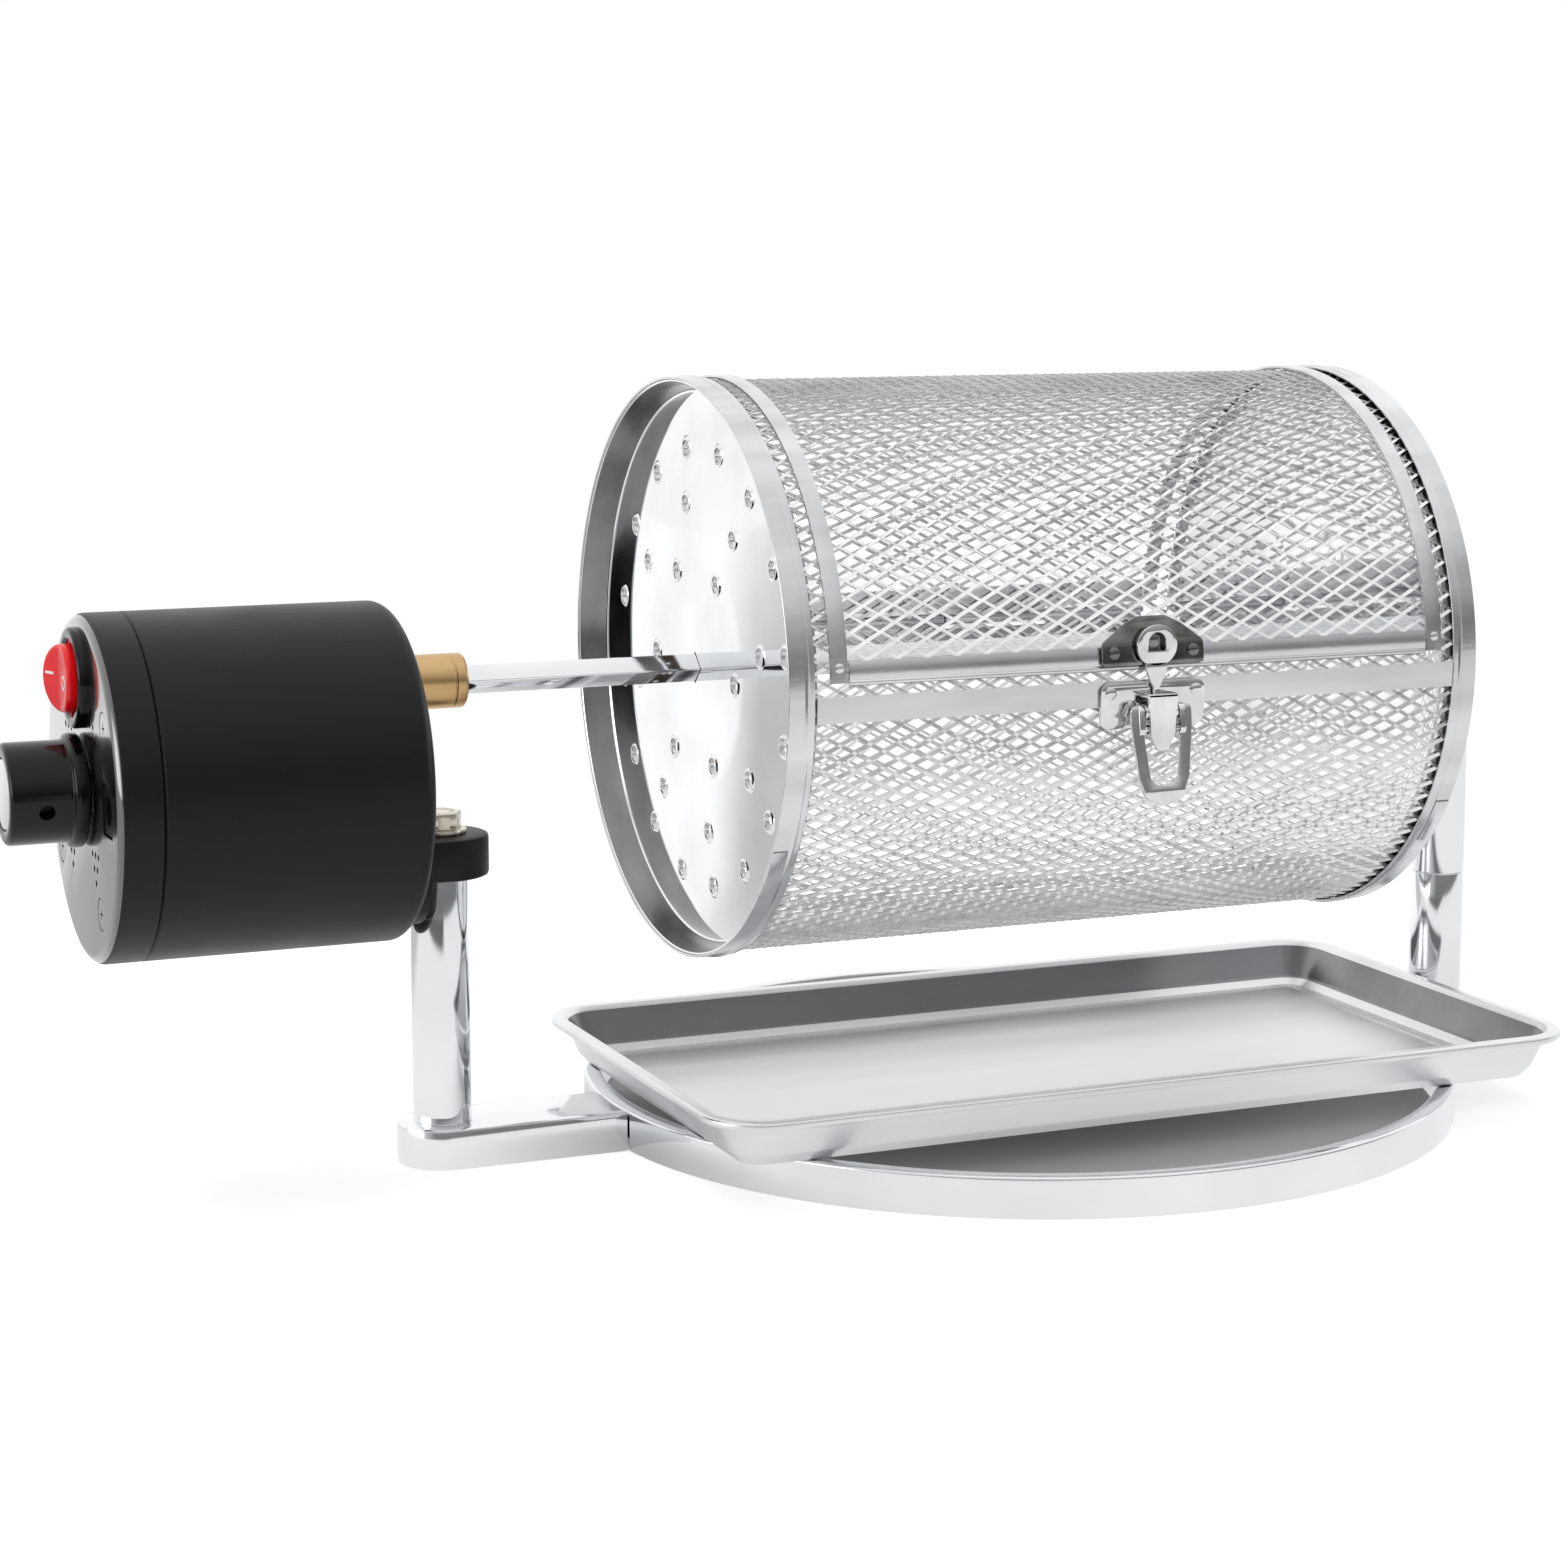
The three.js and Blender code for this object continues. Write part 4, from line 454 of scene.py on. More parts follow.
def arm(name, post_x, node):
    """A flat bar from the ring out to a post, round at its end."""
    reach = abs(post_x - RING_X)
    side = 1 if post_x > RING_X else -1
    seam = RING_OUT + 0.3
    spread = math.degrees(math.asin(ARM_HALF / seam))
    loop = arc(reach, 0, ARM_HALF, -90, 90, 40) + arc(0, 0, seam, spread, -spread, 12)
    loop = [(RING_X + side * u, side * v) for u, v in loop]
    place(plate(name, loop, 0, BAR, flat_z, bevel=0.7), "base", chrome, node, slot="chromed_bar")


SPLIT_Z, FORK_TOP, FORK_SLOT = 50, 122.2, 4.3
PIN_LOW, PIN_R = 42, 3
FOOT_BORE, FOOT_BORE_TOP = 2.8, 22.3


def post(name, x, top, blind, edge, node):
    """A round post standing on its arm, bored blind from both ends; the upper bore ends at blind."""
    profile = [(FOOT_BORE_TOP, 0), (FOOT_BORE_TOP, FOOT_BORE), (BAR, FOOT_BORE)]
    bar = [(BAR, FOOT_BORE), (BAR, POST_R), (top, POST_R), (top, POST_BORE)]
    profile += soften(bar, edge, 3, closed=False)[1:]
    profile += [(blind, POST_BORE), (blind, 0)]
    place(lathe(name, profile, "Z", (x, 0)), "base", chrome, node, slot="chromed_bar")


arm("drive_arm_bar", POST_X, "drive_arm")
arm("far_arm_bar", FAR_X, "far_arm")
post("drive_post_bar", POST_X, LUG_LOW, 57.7, 0.35, "drive_post")
post("far_post_bar", FAR_X, SPLIT_Z, 41.7, 0.3, "far_post")

profile = [(PIN_LOW, 0), (PIN_LOW, PIN_R), (SPLIT_Z, PIN_R)]
bar = [(SPLIT_Z, PIN_R), (SPLIT_Z, POST_R), (FORK_TOP, POST_R, 1.2), (FORK_TOP, 0)]
profile += soften(bar, 0.3, 4, closed=False)[1:]
fork = lathe("far_fork_bar", profile, "Z", (FAR_X, 0))
loop = arc(0, DRUM_Z, FORK_SLOT, 180, 360, 24) + [(FORK_SLOT, 130), (-FORK_SLOT, 130)]
slot_cut = plate("fork_slot", loop, FAR_X - 18, FAR_X + 18, flat_x, bevel=0.01)
place(carve(fork, slot_cut), "base", chrome, "far_fork", slot="chromed_bar")

# Motor bracket, its bolt and washer

BACK_HALF, BACK_LOW, BACK_TOP, BACK_THICK = 20, 60, 99, 4.2
BOLT_R, WASHER_R, WASHER_TOP = 3, 6.8, LUG_TOP + 1.2
HEX_R, HEAD_TOP, CUP_Z = 5.77, 85.2, 84.7

loop = arc(POST_X, 0, LUG_HALF, -90, 90, 36) + [(FACE_X, LUG_HALF), (FACE_X, -LUG_HALF)]
lug = plate("lug", loop, LUG_LOW, LUG_TOP, flat_z, bevel=0.9)
corners = [(BACK_HALF, BACK_LOW, 14), (BACK_HALF, BACK_TOP, 6)]
corners += [(-BACK_HALF, BACK_TOP, 6), (-BACK_HALF, BACK_LOW, 14)]
back = plate("back", soften(corners, 0, 10), FACE_X, FACE_X + BACK_THICK, flat_x, bevel=0.6)
place(fuse("bracket_casting", lug, back), "base", paint, "motor_bracket", slot="black_paint")

bore = BOLT_R + 0.3
profile = [(LUG_TOP, bore), (LUG_TOP, WASHER_R), (WASHER_TOP, WASHER_R), (WASHER_TOP, bore)]
washer = lathe("bolt_washer", soften(profile, 0.25, 2), "Z", (POST_X, 0), 64, closed=True)
place(washer, "base", zinc, "bracket_washer", slot="fastener_steel")
angles = [math.radians(60 * k) for k in range(6)]
hexagon = [(POST_X + HEX_R * math.cos(a), HEX_R * math.sin(a)) for a in angles]
head = plate("hex", hexagon, WASHER_TOP, HEAD_TOP, flat_z, bevel=0.35)
profile = [(LUG_TOP, 0), (LUG_TOP, 5.2), (CUP_Z - 0.4, 5.2), (HEAD_TOP, 3.9), (HEAD_TOP, 3.2)]
profile += [(CUP_Z, 2.9), (CUP_Z, 0)]
dome = lathe("dome", profile, "Z", (POST_X, 0), 48)
shank = rod("shank", BOLT_R, 58, 82, "Z", (POST_X, 0))
place(fuse("hex_bolt", head, dome, shank), "base", zinc, "bracket_bolt", slot="fastener_steel")

# Drive housing and its cap

SEAM_R, SHELL_IN, CAP_IN, SPIGOT_R = HOUSING_R - 0.4, 37.5, 35.6, 37.2

profile = [(FACE_X - 3, 0), (FACE_X - 3, SHELL_IN), (OPEN_X, SHELL_IN), (OPEN_X, SEAM_R)]
outer = [(OPEN_X + 0.5, HOUSING_R), (FACE_X, HOUSING_R), (FACE_X, 0)]
profile += soften(outer, 4, 10, closed=False)
shell = lathe("housing_shell", profile, "X", (0, AXIS_Z), 192)
shell = carve(shell, rod("bore", 5.3, FACE_X - 8, FACE_X + 5, "X", (0, DRUM_Z)))
place(shell, "base", paint, "motor_housing", slot="black_paint")

profile = [(CAP_X + 2.5, 0), (CAP_X + 2.5, CAP_IN), (OPEN_X + 3, CAP_IN), (OPEN_X + 3, SPIGOT_R)]
profile += [(OPEN_X - 0.05, SPIGOT_R), (OPEN_X - 0.05, SEAM_R)]
outer = [(OPEN_X - 0.5, HOUSING_R), (CAP_X, HOUSING_R), (CAP_X, 0)]
profile += soften(outer, 2.6, 8, closed=False)
cap = lathe("cap_shell", profile, "X", (0, AXIS_Z), 192)

# Holes of the cap: knob shaft, switch, inlet, four groups of six vents, three screws

CUT_LOW, CUT_HIGH = CAP_X - 5, CAP_X + 8
SHAFT_HOLE, SWITCH_HOLE = 4.3, 10.3
VENT_R, VENT_FROM, VENT_STEP = 0.8, 13, 3.2
SCREW_AT, SCREW_HEAD, SCREW_R = 31, 3.6, 1.5

cuts = [
    rod("c", SHAFT_HOLE, CUT_LOW, CUT_HIGH, "X", (0, AXIS_Z)),
    rod("c", SWITCH_HOLE, CUT_LOW, CUT_HIGH, "X", (0, SWITCH_Z)),
    box("c", (CUT_LOW, -32.5, 89.2), (CUT_HIGH, -22.9, 100.8)),
]
for side_y in (-1, 1):
    for side_z in (-1, 1):
        for row in range(3):
            for column in range(3 - row):
                y = side_y * (VENT_FROM + (column - (2 - row) / 2) * VENT_STEP)
                z = side_z * (VENT_FROM + row * VENT_STEP)
                cuts.append(rod("c", VENT_R, CUT_LOW, CUT_HIGH, "X", (y, AXIS_Z + z), 0.05, 16))
angles = [math.radians(a) for a in (146, 236, 326)]
screw_places = [(SCREW_AT * math.cos(a), AXIS_Z + SCREW_AT * math.sin(a)) for a in angles]
for y, z in screw_places:
    cuts.append(rod("c", SCREW_HEAD + 0.2, CUT_LOW, CAP_X + 0.6, "X", (y, z)))
cap = carve(cap, fuse("cuts", *cuts))
place(cap, "base", moulded, "housing_cap", slot="black_plastic",
      second=cap_face, where=lambda c, n: c.x < CAP_X + 1.2)

for number, (y, z) in enumerate(screw_places, 1):
    profile = [(CAP_X + 0.05, 0), (CAP_X + 0.05, SCREW_HEAD - 0.1), (CAP_X + 0.15, SCREW_HEAD)]
    profile += [(CAP_X + 2.3, SCREW_R), (OPEN_X + 11, SCREW_R), (OPEN_X + 11, 0)]
    screw = lathe(f"cap_screw_head_{number}", profile, "X", (y, z), 40)
    cross = [
        box("x", (CAP_X - 1, y - u, z - v), (CAP_X + 0.7, y + u, z + v))
        for u, v in ((1.3, 0.2), (0.2, 1.3))]
    place(carve(screw, *cross), "base", cap_face, f"cap_screw_{number}", slot="black_screw")

# Speed knob

BACK_X, DISC_R, RECESS_X = CAP_X - 0.5, 8, KNOB_X + 1.2
BORE_X, BORE_R, HOLLOW_X, HOLLOW_R = BACK_X - 14.5, 3.3, BACK_X - 5, 8.5
SET_SCREW_X, SET_SCREW_R, SET_SCREW_TURN = BACK_X - 9.5, 1.8, 105

profile = [(BORE_X, 0), (BORE_X, BORE_R), (HOLLOW_X, BORE_R)]
outer = [(HOLLOW_X, HOLLOW_R), (BACK_X, HOLLOW_R), (BACK_X, FLANGE_R, 0.8), (BACK_X - 3, FLANGE_R, 1)]
outer += [(BACK_X - 3.6, KNOB_R, 0.8), (KNOB_X, KNOB_R, 1.2)]
outer += [(KNOB_X, DISC_R + 0.3), (RECESS_X, DISC_R + 0.3)]
profile += soften(outer, 0.5, 5, closed=False) + [(RECESS_X, 0)]
knob = lathe("knob_body", profile, "X", (0, AXIS_Z))
hole = rod("hole", SET_SCREW_R, 4, 20, "Z", (0, 0), 0.05, 32)
hole = turned(hole, (SET_SCREW_X, 0, AXIS_Z), SET_SCREW_TURN)
place(carve(knob, hole), "knob", glossy, "control_knob", slot="black_gloss")
profile = [(0.9, 0), (0.9, DISC_R), (0.35, DISC_R), (0.15, DISC_R - 0.2), (0.1, DISC_R - 1), (0.1, 0)]
disc = lathe("knob_disc", [(KNOB_X + x, radius) for x, radius in profile], "X", (0, AXIS_Z), 96)
place(disc, "knob", silver, "knob_insert", slot="satin_aluminium")

# Rocker switch and inlet

BEZEL_R, BEZEL_IN, BODY_R = 11.5, 8.7, 10
BEZEL_X, WELL_X, BODY_X = CAP_X - 2.2, CAP_X + 7.3, CAP_X + 14
BLADE_Y, BLADE_THICK, BLADE_HALF = 5, 0.8, 2.4
ROCKER_R, ROCKER_EDGE, PIVOT_X = 7.85, 0.9, CAP_X - 1.7

profile = [(BODY_X, 0), (BODY_X, BODY_R), (CAP_X, BODY_R)]
rim = [(CAP_X, BEZEL_R), (BEZEL_X, BEZEL_R, 0.9), (BEZEL_X, BEZEL_IN, 0.9), (WELL_X, BEZEL_IN)]
profile += soften(rim, 0.5, 6, closed=False) + [(WELL_X, 0)]
bezel = lathe("switch_bezel", profile, "X", (0, SWITCH_Z), 96)
blades = []
for y in (-BLADE_Y, BLADE_Y):
    y0, y1 = y - BLADE_THICK / 2, y + BLADE_THICK / 2
    loop = rectangle(y0, y1, SWITCH_Z - BLADE_HALF, SWITCH_Z + BLADE_HALF, 0.1, 1)
    blades.append(plate("blade", loop, BODY_X - 0.8, BODY_X + 4.5, flat_x, bevel=0.08))
place(fuse("switch_body", bezel, *blades), "base", glossy, "rocker_switch_body", slot="black_gloss")


def tilt(x, y, z):
    """From the rocker's own axes, tilted about its upright pivot, to the frame."""
    a = math.radians(10)
    return PIVOT_X + x * math.cos(a) - y * math.sin(a), x * math.sin(a) + y * math.cos(a), SWITCH_Z + z


def rocker_face(y, z):
    """How far the rocker's face stands in front of its pivot: a valley with two rising halves."""
    far = math.hypot(y, z)
    lift = 2.6 + 1.4 * (math.sqrt(y * y + 0.5) - 0.7) / ROCKER_R
    over = max(0, far - (ROCKER_R - ROCKER_EDGE))
    return -(lift - (ROCKER_EDGE - math.sqrt(max(0, ROCKER_EDGE**2 - over * over))))


def rocker():
    """The rocker's cap: rings of points from its face's middle to its edge and behind it."""
    sectors, faces, rings = 96, [], []
    angles = [TURN * k / sectors for k in range(sectors)]
    radii = [ROCKER_R * k / 22 for k in range(1, 20)]
    radii += [ROCKER_R - ROCKER_EDGE + ROCKER_EDGE * math.sin(k * math.pi / 12) for k in range(1, 7)]
    for radius in sorted(radii):
        ring = [(radius * math.cos(a), radius * math.sin(a), a) for a in angles]
        rings.append([(rocker_face(y, z), radius, a) for y, z, a in ring])
    rings.append([(1.7, ROCKER_R, a) for a in angles])
    rings.append([(4, 0.64 * ROCKER_R, a) for a in angles])
    points = [tilt(rocker_face(0, 0), 0, 0)]
    for ring in rings:
        points += [tilt(x, radius * math.cos(a), radius * math.sin(a)) for x, radius, a in ring]
    points.append(tilt(4, 0, 0))
    for k in range(sectors):
        m = (k + 1) % sectors
        faces.append([0, 1 + k, 1 + m])
        for r in range(len(rings) - 1):
            a, b = 1 + r * sectors, 1 + (r + 1) * sectors
            faces.append([a + k, b + k, b + m, a + m])
        last = 1 + (len(rings) - 1) * sectors
        faces.append([last + k, len(points) - 1, last + m])
    return build("rocker_cap", points, faces)


pins = rod("pins", 0.35, SWITCH_Z - 9, SWITCH_Z + 9, "Z", (PIVOT_X + 0.1, 0), 0.1, 20)
place(fuse("rocker_cap", rocker(), pins), "rocker", red, "rocker_button", slot="red_plastic")


def mark(name, loop, holes=()):
    """A generic switch mark lying just proud of the rocker's face."""
    def put(u, v, w):
        return tilt(rocker_face(u, v) - w, u, v)
    bends = [("u", -6 + 0.5 * k) for k in range(25)] + [("v", -3 + 0.5 * k) for k in range(13)]
    piece = plate(name, loop, -0.1, 0.06, put, holes, 0.02, bends)
    place(piece, "rocker", white_mark, slot="red_plastic")


mark("switch_mark_on", rectangle(2.6, 6.1, 0.7, 1.3, 0.2, 3))
mark("switch_mark_off", arc(-3.6, -0.6, 1.75, 0, 354, 32), [arc(-3.6, -0.6, 1.2, 0, 354, 32)])

JACK_WIDE, JACK_HIGH, JACK_BORE = 9, 11, 3.2

y0, z0 = JACK_Y - JACK_WIDE / 2, JACK_Z - JACK_HIGH / 2
loop = rectangle(y0, y0 + JACK_WIDE, z0, z0 + JACK_HIGH, 0.5, 3)
jack = plate("jack", loop, CAP_X + 0.3, CAP_X + 9.8, flat_x, bevel=0.3)
jack = carve(jack, rod("c", JACK_BORE, CAP_X - 3, CAP_X + 8.3, "X", (JACK_Y, JACK_Z)))
profile = [(CAP_X + 9, 0), (CAP_X + 9, 1), (CAP_X + 1.8, 1), (CAP_X + 1.3, 0.5), (CAP_X + 1.3, 0)]
pin = lathe("pin", profile, "X", (JACK_Y, JACK_Z), 24)
place(fuse("inlet_body", jack, pin), "base", moulded, "dc_jack", slot="black_plastic")

# Coupling, spit and far bush

START_X, END_X, COUPLING_R, GROOVE_R, SHAFT_BORE = FACE_X + 0.3, FACE_X + 18, 6.5, 6.35, 3.3
BUSH_R, BUSH_NECK = 6, 4


def square(name, side, low, high, edge):
    """A square bar along the drum's axis, standing on its corner."""
    half = side * 0.7071
    loop = soften([(0, -half), (half, 0), (0, half), (-half, 0)], edge, 3)
    return plate(name, [(u, DRUM_Z + v) for u, v in loop], low, high, flat_x, bevel=min(edge, 0.15))


profile = [(START_X + 9, 0), (START_X + 9, SHAFT_BORE), (START_X, SHAFT_BORE)]
profile += [(START_X, COUPLING_R - 0.3), (START_X + 0.3, COUPLING_R)]
profile += [(END_X - 3.4, COUPLING_R), (END_X - 3.2, GROOVE_R), (END_X - 3, GROOVE_R)]
nose = [(END_X - 2.8, COUPLING_R), (END_X, COUPLING_R), (END_X, 0)]
profile += soften(nose, 0.9, 5, closed=False)
coupling = lathe("coupling_body", profile, "X", (0, DRUM_Z), 96)
socket = square("c", SPIT_HOLE, END_X - 8.3, END_X + 5, 0.1)
screw_hole = rod("c", 2, 100, DRUM_Z, "Z", (START_X + 4.5, 0), 0.05)
place(carve(coupling, socket, screw_hole), "drum", brass, "brass_coupling", slot="brass")
spit = square("spit_bar", SPIT, END_X - 8, FAR_X + 6.5, 0.35)
place(spit, "drum", chrome, "spit_shaft", slot="chromed_bar")
profile = [(-8.8, 0), (-8.8, BUSH_R), (-7.3, BUSH_R), (-7.3, BUSH_NECK), (6.8, BUSH_NECK), (6.8, 0)]
profile = [(FAR_X + x, radius) for x, radius in soften(profile, 0.3, 3, closed=False)]
far_bush = lathe("end_bush", profile, "X", (0, DRUM_Z), 64)
far_bush = carve(far_bush, square("c", SPIT_HOLE, FAR_X - 16, FAR_X + 16, 0.1))
place(far_bush, "drum", bronze, "far_bush", slot="bronze")


# Drum: hoops, end plates, expanded mesh, strips and bands


def hoop(name, side, node):
    """A hoop round the drum's end, with a raised bead and a lapped joint."""
    low, high, wide = 69.7, 70.3, 6.5
    places = [(0, low), (0, high), (4, high), (4.6, 70.7, 0.4), (5.2, high), (wide, high), (wide, low)]
    edge = RIGHT if side > 0 else LEFT
    loop = [(edge - side * p[0], *p[1:]) for p in places]
    ring = lathe(name, soften(loop, 0.2, 3), "X", (0, DRUM_Z), 256, closed=True, sharp=50)
    ends = sorted((edge - side * 0.15, edge - side * 3.9))
    lap = bent("lap", 70.25, 70.6, 120, 131, *ends, steps=7)
    place(fuse(name, ring, lap), "drum", drum_sheet, node, slot="drum_sheet")


hoop("left_hoop", -1, "left_end_hoop")
hoop("right_hoop", 1, "right_end_hoop")

# Rows of vent holes: share of the mesh's radius, number of holes, first angle in degrees

HOLE_ROWS = [(0.367, 6, 3), (0.576, 8, -10), (0.768, 16, -144)]
HOLE_R = 2


def end_plate(name, side, node):
    """A polished dished plate with rows of dimpled vent holes and an outward flange."""
    face = RIGHT - 7 if side > 0 else LEFT + 7
    dish = [(-1.7, 0, 0), (-1.7, 28, 0), (-1.6, 31, 0), (-1.15, 40, 0), (-0.6, 50, 0), (-0.05, 60, 0)]
    flange = [(0.35, 67.1, 0.7), (-6.5, 69.15, 0.3), (-6.75, 69.65, 0.15), (-6.2, 69.65, 0.2)]
    flange.append((1.4, 68.1, 1.4))
    rear = [(1, 60, 0), (0.45, 50, 0), (-0.1, 40, 0), (-0.55, 31, 0), (-0.7, 28, 0), (-0.7, 0, 0)]
    outline = [(face - side * depth, *rest) for depth, *rest in dish + flange + rear]
    disc = lathe(name, soften(outline, 0, 6, closed=False), "X", (0, DRUM_Z), 256, sharp=50)
    holes, rims = [square("h", SPIT_HOLE, face - 8, face + 8, 0.1)], []
    for share, count, phase in HOLE_ROWS:
        radius = share * MESH_R
        sink = -1.7 if radius < 30 else -1.65 + (radius - 30) * 0.0548
        rim = [(0.5, HOLE_R), (-0.28, 2.15), (-0.34, 2.4), (-0.24, 2.7), (0.25, 3.3)]
        rim = [(face - side * (sink + depth), width) for depth, width in rim]
        for k in range(count):
            a = math.radians(phase) + TURN * k / count
            at = (radius * math.cos(a), DRUM_Z + radius * math.sin(a))
            holes.append(rod("h", HOLE_R, face - 8, face + 8, "X", at, 0.05, 24))
            rims.append(lathe("rim", rim, "X", at, 32))
    disc = carve(disc, fuse("holes", *holes), sharp=50)
    whole = fuse(name, disc, *rims, sharp=50)
    # The flange walls get the darker copy: painted shade in the recess.
    place(whole, "drum", polished, node, slot="drum_sheet", second=flange_painted_shade,
          where=lambda c, n: abs(n.x) < 0.5 and math.hypot(c.y, c.z - DRUM_Z) > 66.5)


end_plate("left_plate", -1, "left_end_plate")
end_plate("right_plate", 1, "right_end_plate")


def lattice(name, x0, pitch, columns, angle0, step, rows, keep, wraps=False):
    """Expanded metal: knots on a diamond grid, joined by strands, in one closed mesh."""
    middle, half_thick, rise = 68.9, 0.17, 0.42
    along, around = 0.84, math.degrees(0.43 / middle)
    index, points, faces = {}, [], []
    shapes = {"E": (along, 0, 0), "W": (-along, 0, 0), "N": (0, around, rise), "S": (0, -around, -rise)}
    ways = ((1, 1, "NE", "WS"), (1, -1, "ES", "NW"), (-1, -1, "SW", "EN"), (-1, 1, "WN", "SE"))

    def exists(i, k):
        if wraps:
            k %= rows
        return 0 <= i < columns and 0 <= k < rows and (i + k) % 2 == 0 and keep(i, k)

    def corner(i, k, side, level):
        if wraps:
            k %= rows
        key = (i, k, side, level)
        if key not in index:
            dx, da, dr = shapes[side]
            index[key] = len(points)
            x, angle = x0 + i * pitch + dx, angle0 + k * step + da
            points.append(on_drum(x, angle, middle + dr + level * half_thick))
        return index[key]

    def wall(first, second):
        faces.append([corner(*first, 1), corner(*second, 1), corner(*second, -1), corner(*first, -1)])

    for i in range(columns):
        for k in range(rows):
            if not exists(i, k):
                continue
            for level in (1, -1):
                faces.append([corner(i, k, side, level) for side in "ENWS"])
            for di, dk, here, there in ways:
                first, second = (i, k, here[0]), (i, k, here[1])
                if not exists(i + di, k + dk):
                    wall(first, second)
                elif di > 0:
                    third, fourth = (i + di, k + dk, there[1]), (i + di, k + dk, there[0])
                    for level in (1, -1):
                        faces.append([corner(*knot, level) for knot in (first, second, third, fourth)])
                    wall(first, fourth)
                    wall(second, third)
    return build(name, points, faces, 30)


# The body's mesh ends under the door, but for its first and last columns, which go on all round

BODY_PITCH, BODY_COLUMNS, BODY_ROWS, BODY_LAST_ROW, ROUND_COLUMNS = 3.7167, 49, 216, 109, 3
DOOR_PITCH, DOOR_COLUMNS, DOOR_ROWS = 3.762, 43, 105


def body_keep(i, k):
    edge = min(i, BODY_COLUMNS - 1 - i)
    return edge > 0 and (k <= BODY_LAST_ROW or edge <= ROUND_COLUMNS)


body_net = lattice(
    "body_net", LEFT + 2.3, BODY_PITCH, BODY_COLUMNS, 86.9, 360 / BODY_ROWS, BODY_ROWS, body_keep,
    wraps=True)
place(body_net, "drum", strand, "drum_body_mesh", slot="expanded_metal")
door_net = lattice(
    "door_net", LEFT + 12.5, DOOR_PITCH, DOOR_COLUMNS, -89, 174.8 / (DOOR_ROWS - 1), DOOR_ROWS,
    lambda i, k: True)
place(door_net, "door", strand, "door_mesh", slot="expanded_metal")

DOOR_EDGE, DOOR_LEFT, DOOR_RIGHT = 86.6, LEFT + 14.8, RIGHT - 14.8
RIVET_AT = 83.8

strip = bent("body_strip", STRIP_IN, STRIP_OUT, 89.1, 94, LEFT + 6.8, RIGHT - 6.8, 10)
place(strip, "drum", drum_sheet, "body_front_strip", slot="drum_sheet")
strip = bent(
    "door_strip", STRIP_IN, STRIP_OUT, 82.6, DOOR_EDGE, DOOR_LEFT, DOOR_RIGHT, 10, roll=0.7, crown=0.25)
place(strip, "door", drum_sheet, "door_front_strip", slot="drum_sheet")
for name, low, node in (
        ("left_band", LEFT + 10.2, "door_left_band"), ("right_band", RIGHT - 14.5, "door_right_band")):
    band = bent(name, STRIP_IN, STRIP_OUT, -87.9, DOOR_EDGE, low, low + 4.3, 140)
    rivet = lathe("rivet", [(-0.5, 0), (-0.5, 1.1), (0.25, 1.1), (0.5, 0.7), (0.55, 0)], "Z", (0, 0), 24)
    turned(rivet, on_drum(low + 2.15, RIVET_AT, STRIP_OUT), RIVET_AT)
    place(fuse(name, band, rivet), "door", drum_sheet, node, slot="drum_sheet")

# Back hinge

KNUCKLES, KNUCKLE_IN, KNUCKLE_R = 5, 1.3, 2.2
TAB_IN, TAB_OUT = 69.85, 71.2


def leaf(name, first, side, body, node):
    """A hinge leaf with every second knuckle, each held by a tab."""
    near = -90 + side * 2.1
    far = near + side * 5
    start, end = sorted((near, far))
    parts = [bent("leaf", STRIP_IN, STRIP_OUT, start, end, DOOR_LEFT, DOOR_RIGHT, 10)]
    low, high = LEFT + 14.9, RIGHT - 14.5
    length = (high - low) / KNUCKLES
    for k in range(first, KNUCKLES, 2):
        x0, x1 = low + k * length, low + (k + 1) * length - 0.4
        parts.append(sleeve("knuckle", KNUCKLE_IN, KNUCKLE_R, x0, x1, (HINGE_Y, DRUM_Z), 0.2))
        tab = [(TAB_IN, side * 3.2), (TAB_IN, side * 1.2), (TAB_OUT, side * 1.2), (TAB_OUT, side * 3.2)]
        tab = [(y, DRUM_Z + z) for y, z in soften(tab, 0.3, 2)]
        parts.append(plate("tab", tab, x0, x1, flat_x, bevel=0.1))
    place(fuse(name, *parts), body, drum_sheet, node, slot="drum_sheet")


leaf("body_leaf", 0, -1, "drum", "body_back_hinge")
leaf("door_leaf", 1, 1, "door", "door_back_hinge")
pin = rod("long_hinge_pin", 1, LEFT + 13.4, RIGHT - 13.4, "X", (HINGE_Y, DRUM_Z), 0.3, 24)
place(pin, "drum", steel, "hinge_pin", slot="fastener_steel")

# Toggle latch

LATCH_PIN_R, EAR_R, LUG_THICK, SHEET = 0.8, 1.9, 1.6, 1
LINK = LATCH_OUT + 0.5
TAIL = LINK + 3.4
LEAN = Matrix.Rotation(-math.radians(8), 4, "X")


def rivet_head(x, z):
    """A low rivet head on the latch's plates; x is counted from the latch, z from the drum's axis."""
    profile = [(-0.3, 0), (-0.3, 1.5), (0.35, 1.45), (0.6, 1), (0.7, 0)]
    head = lathe("rivet", [(LATCH_OUT + out, radius) for out, radius in profile], "Z", (0, 0), 32)
    return turned(head, (LATCH_X + x, 0, DRUM_Z), 90, -math.degrees(math.asin(z / LATCH_OUT)))


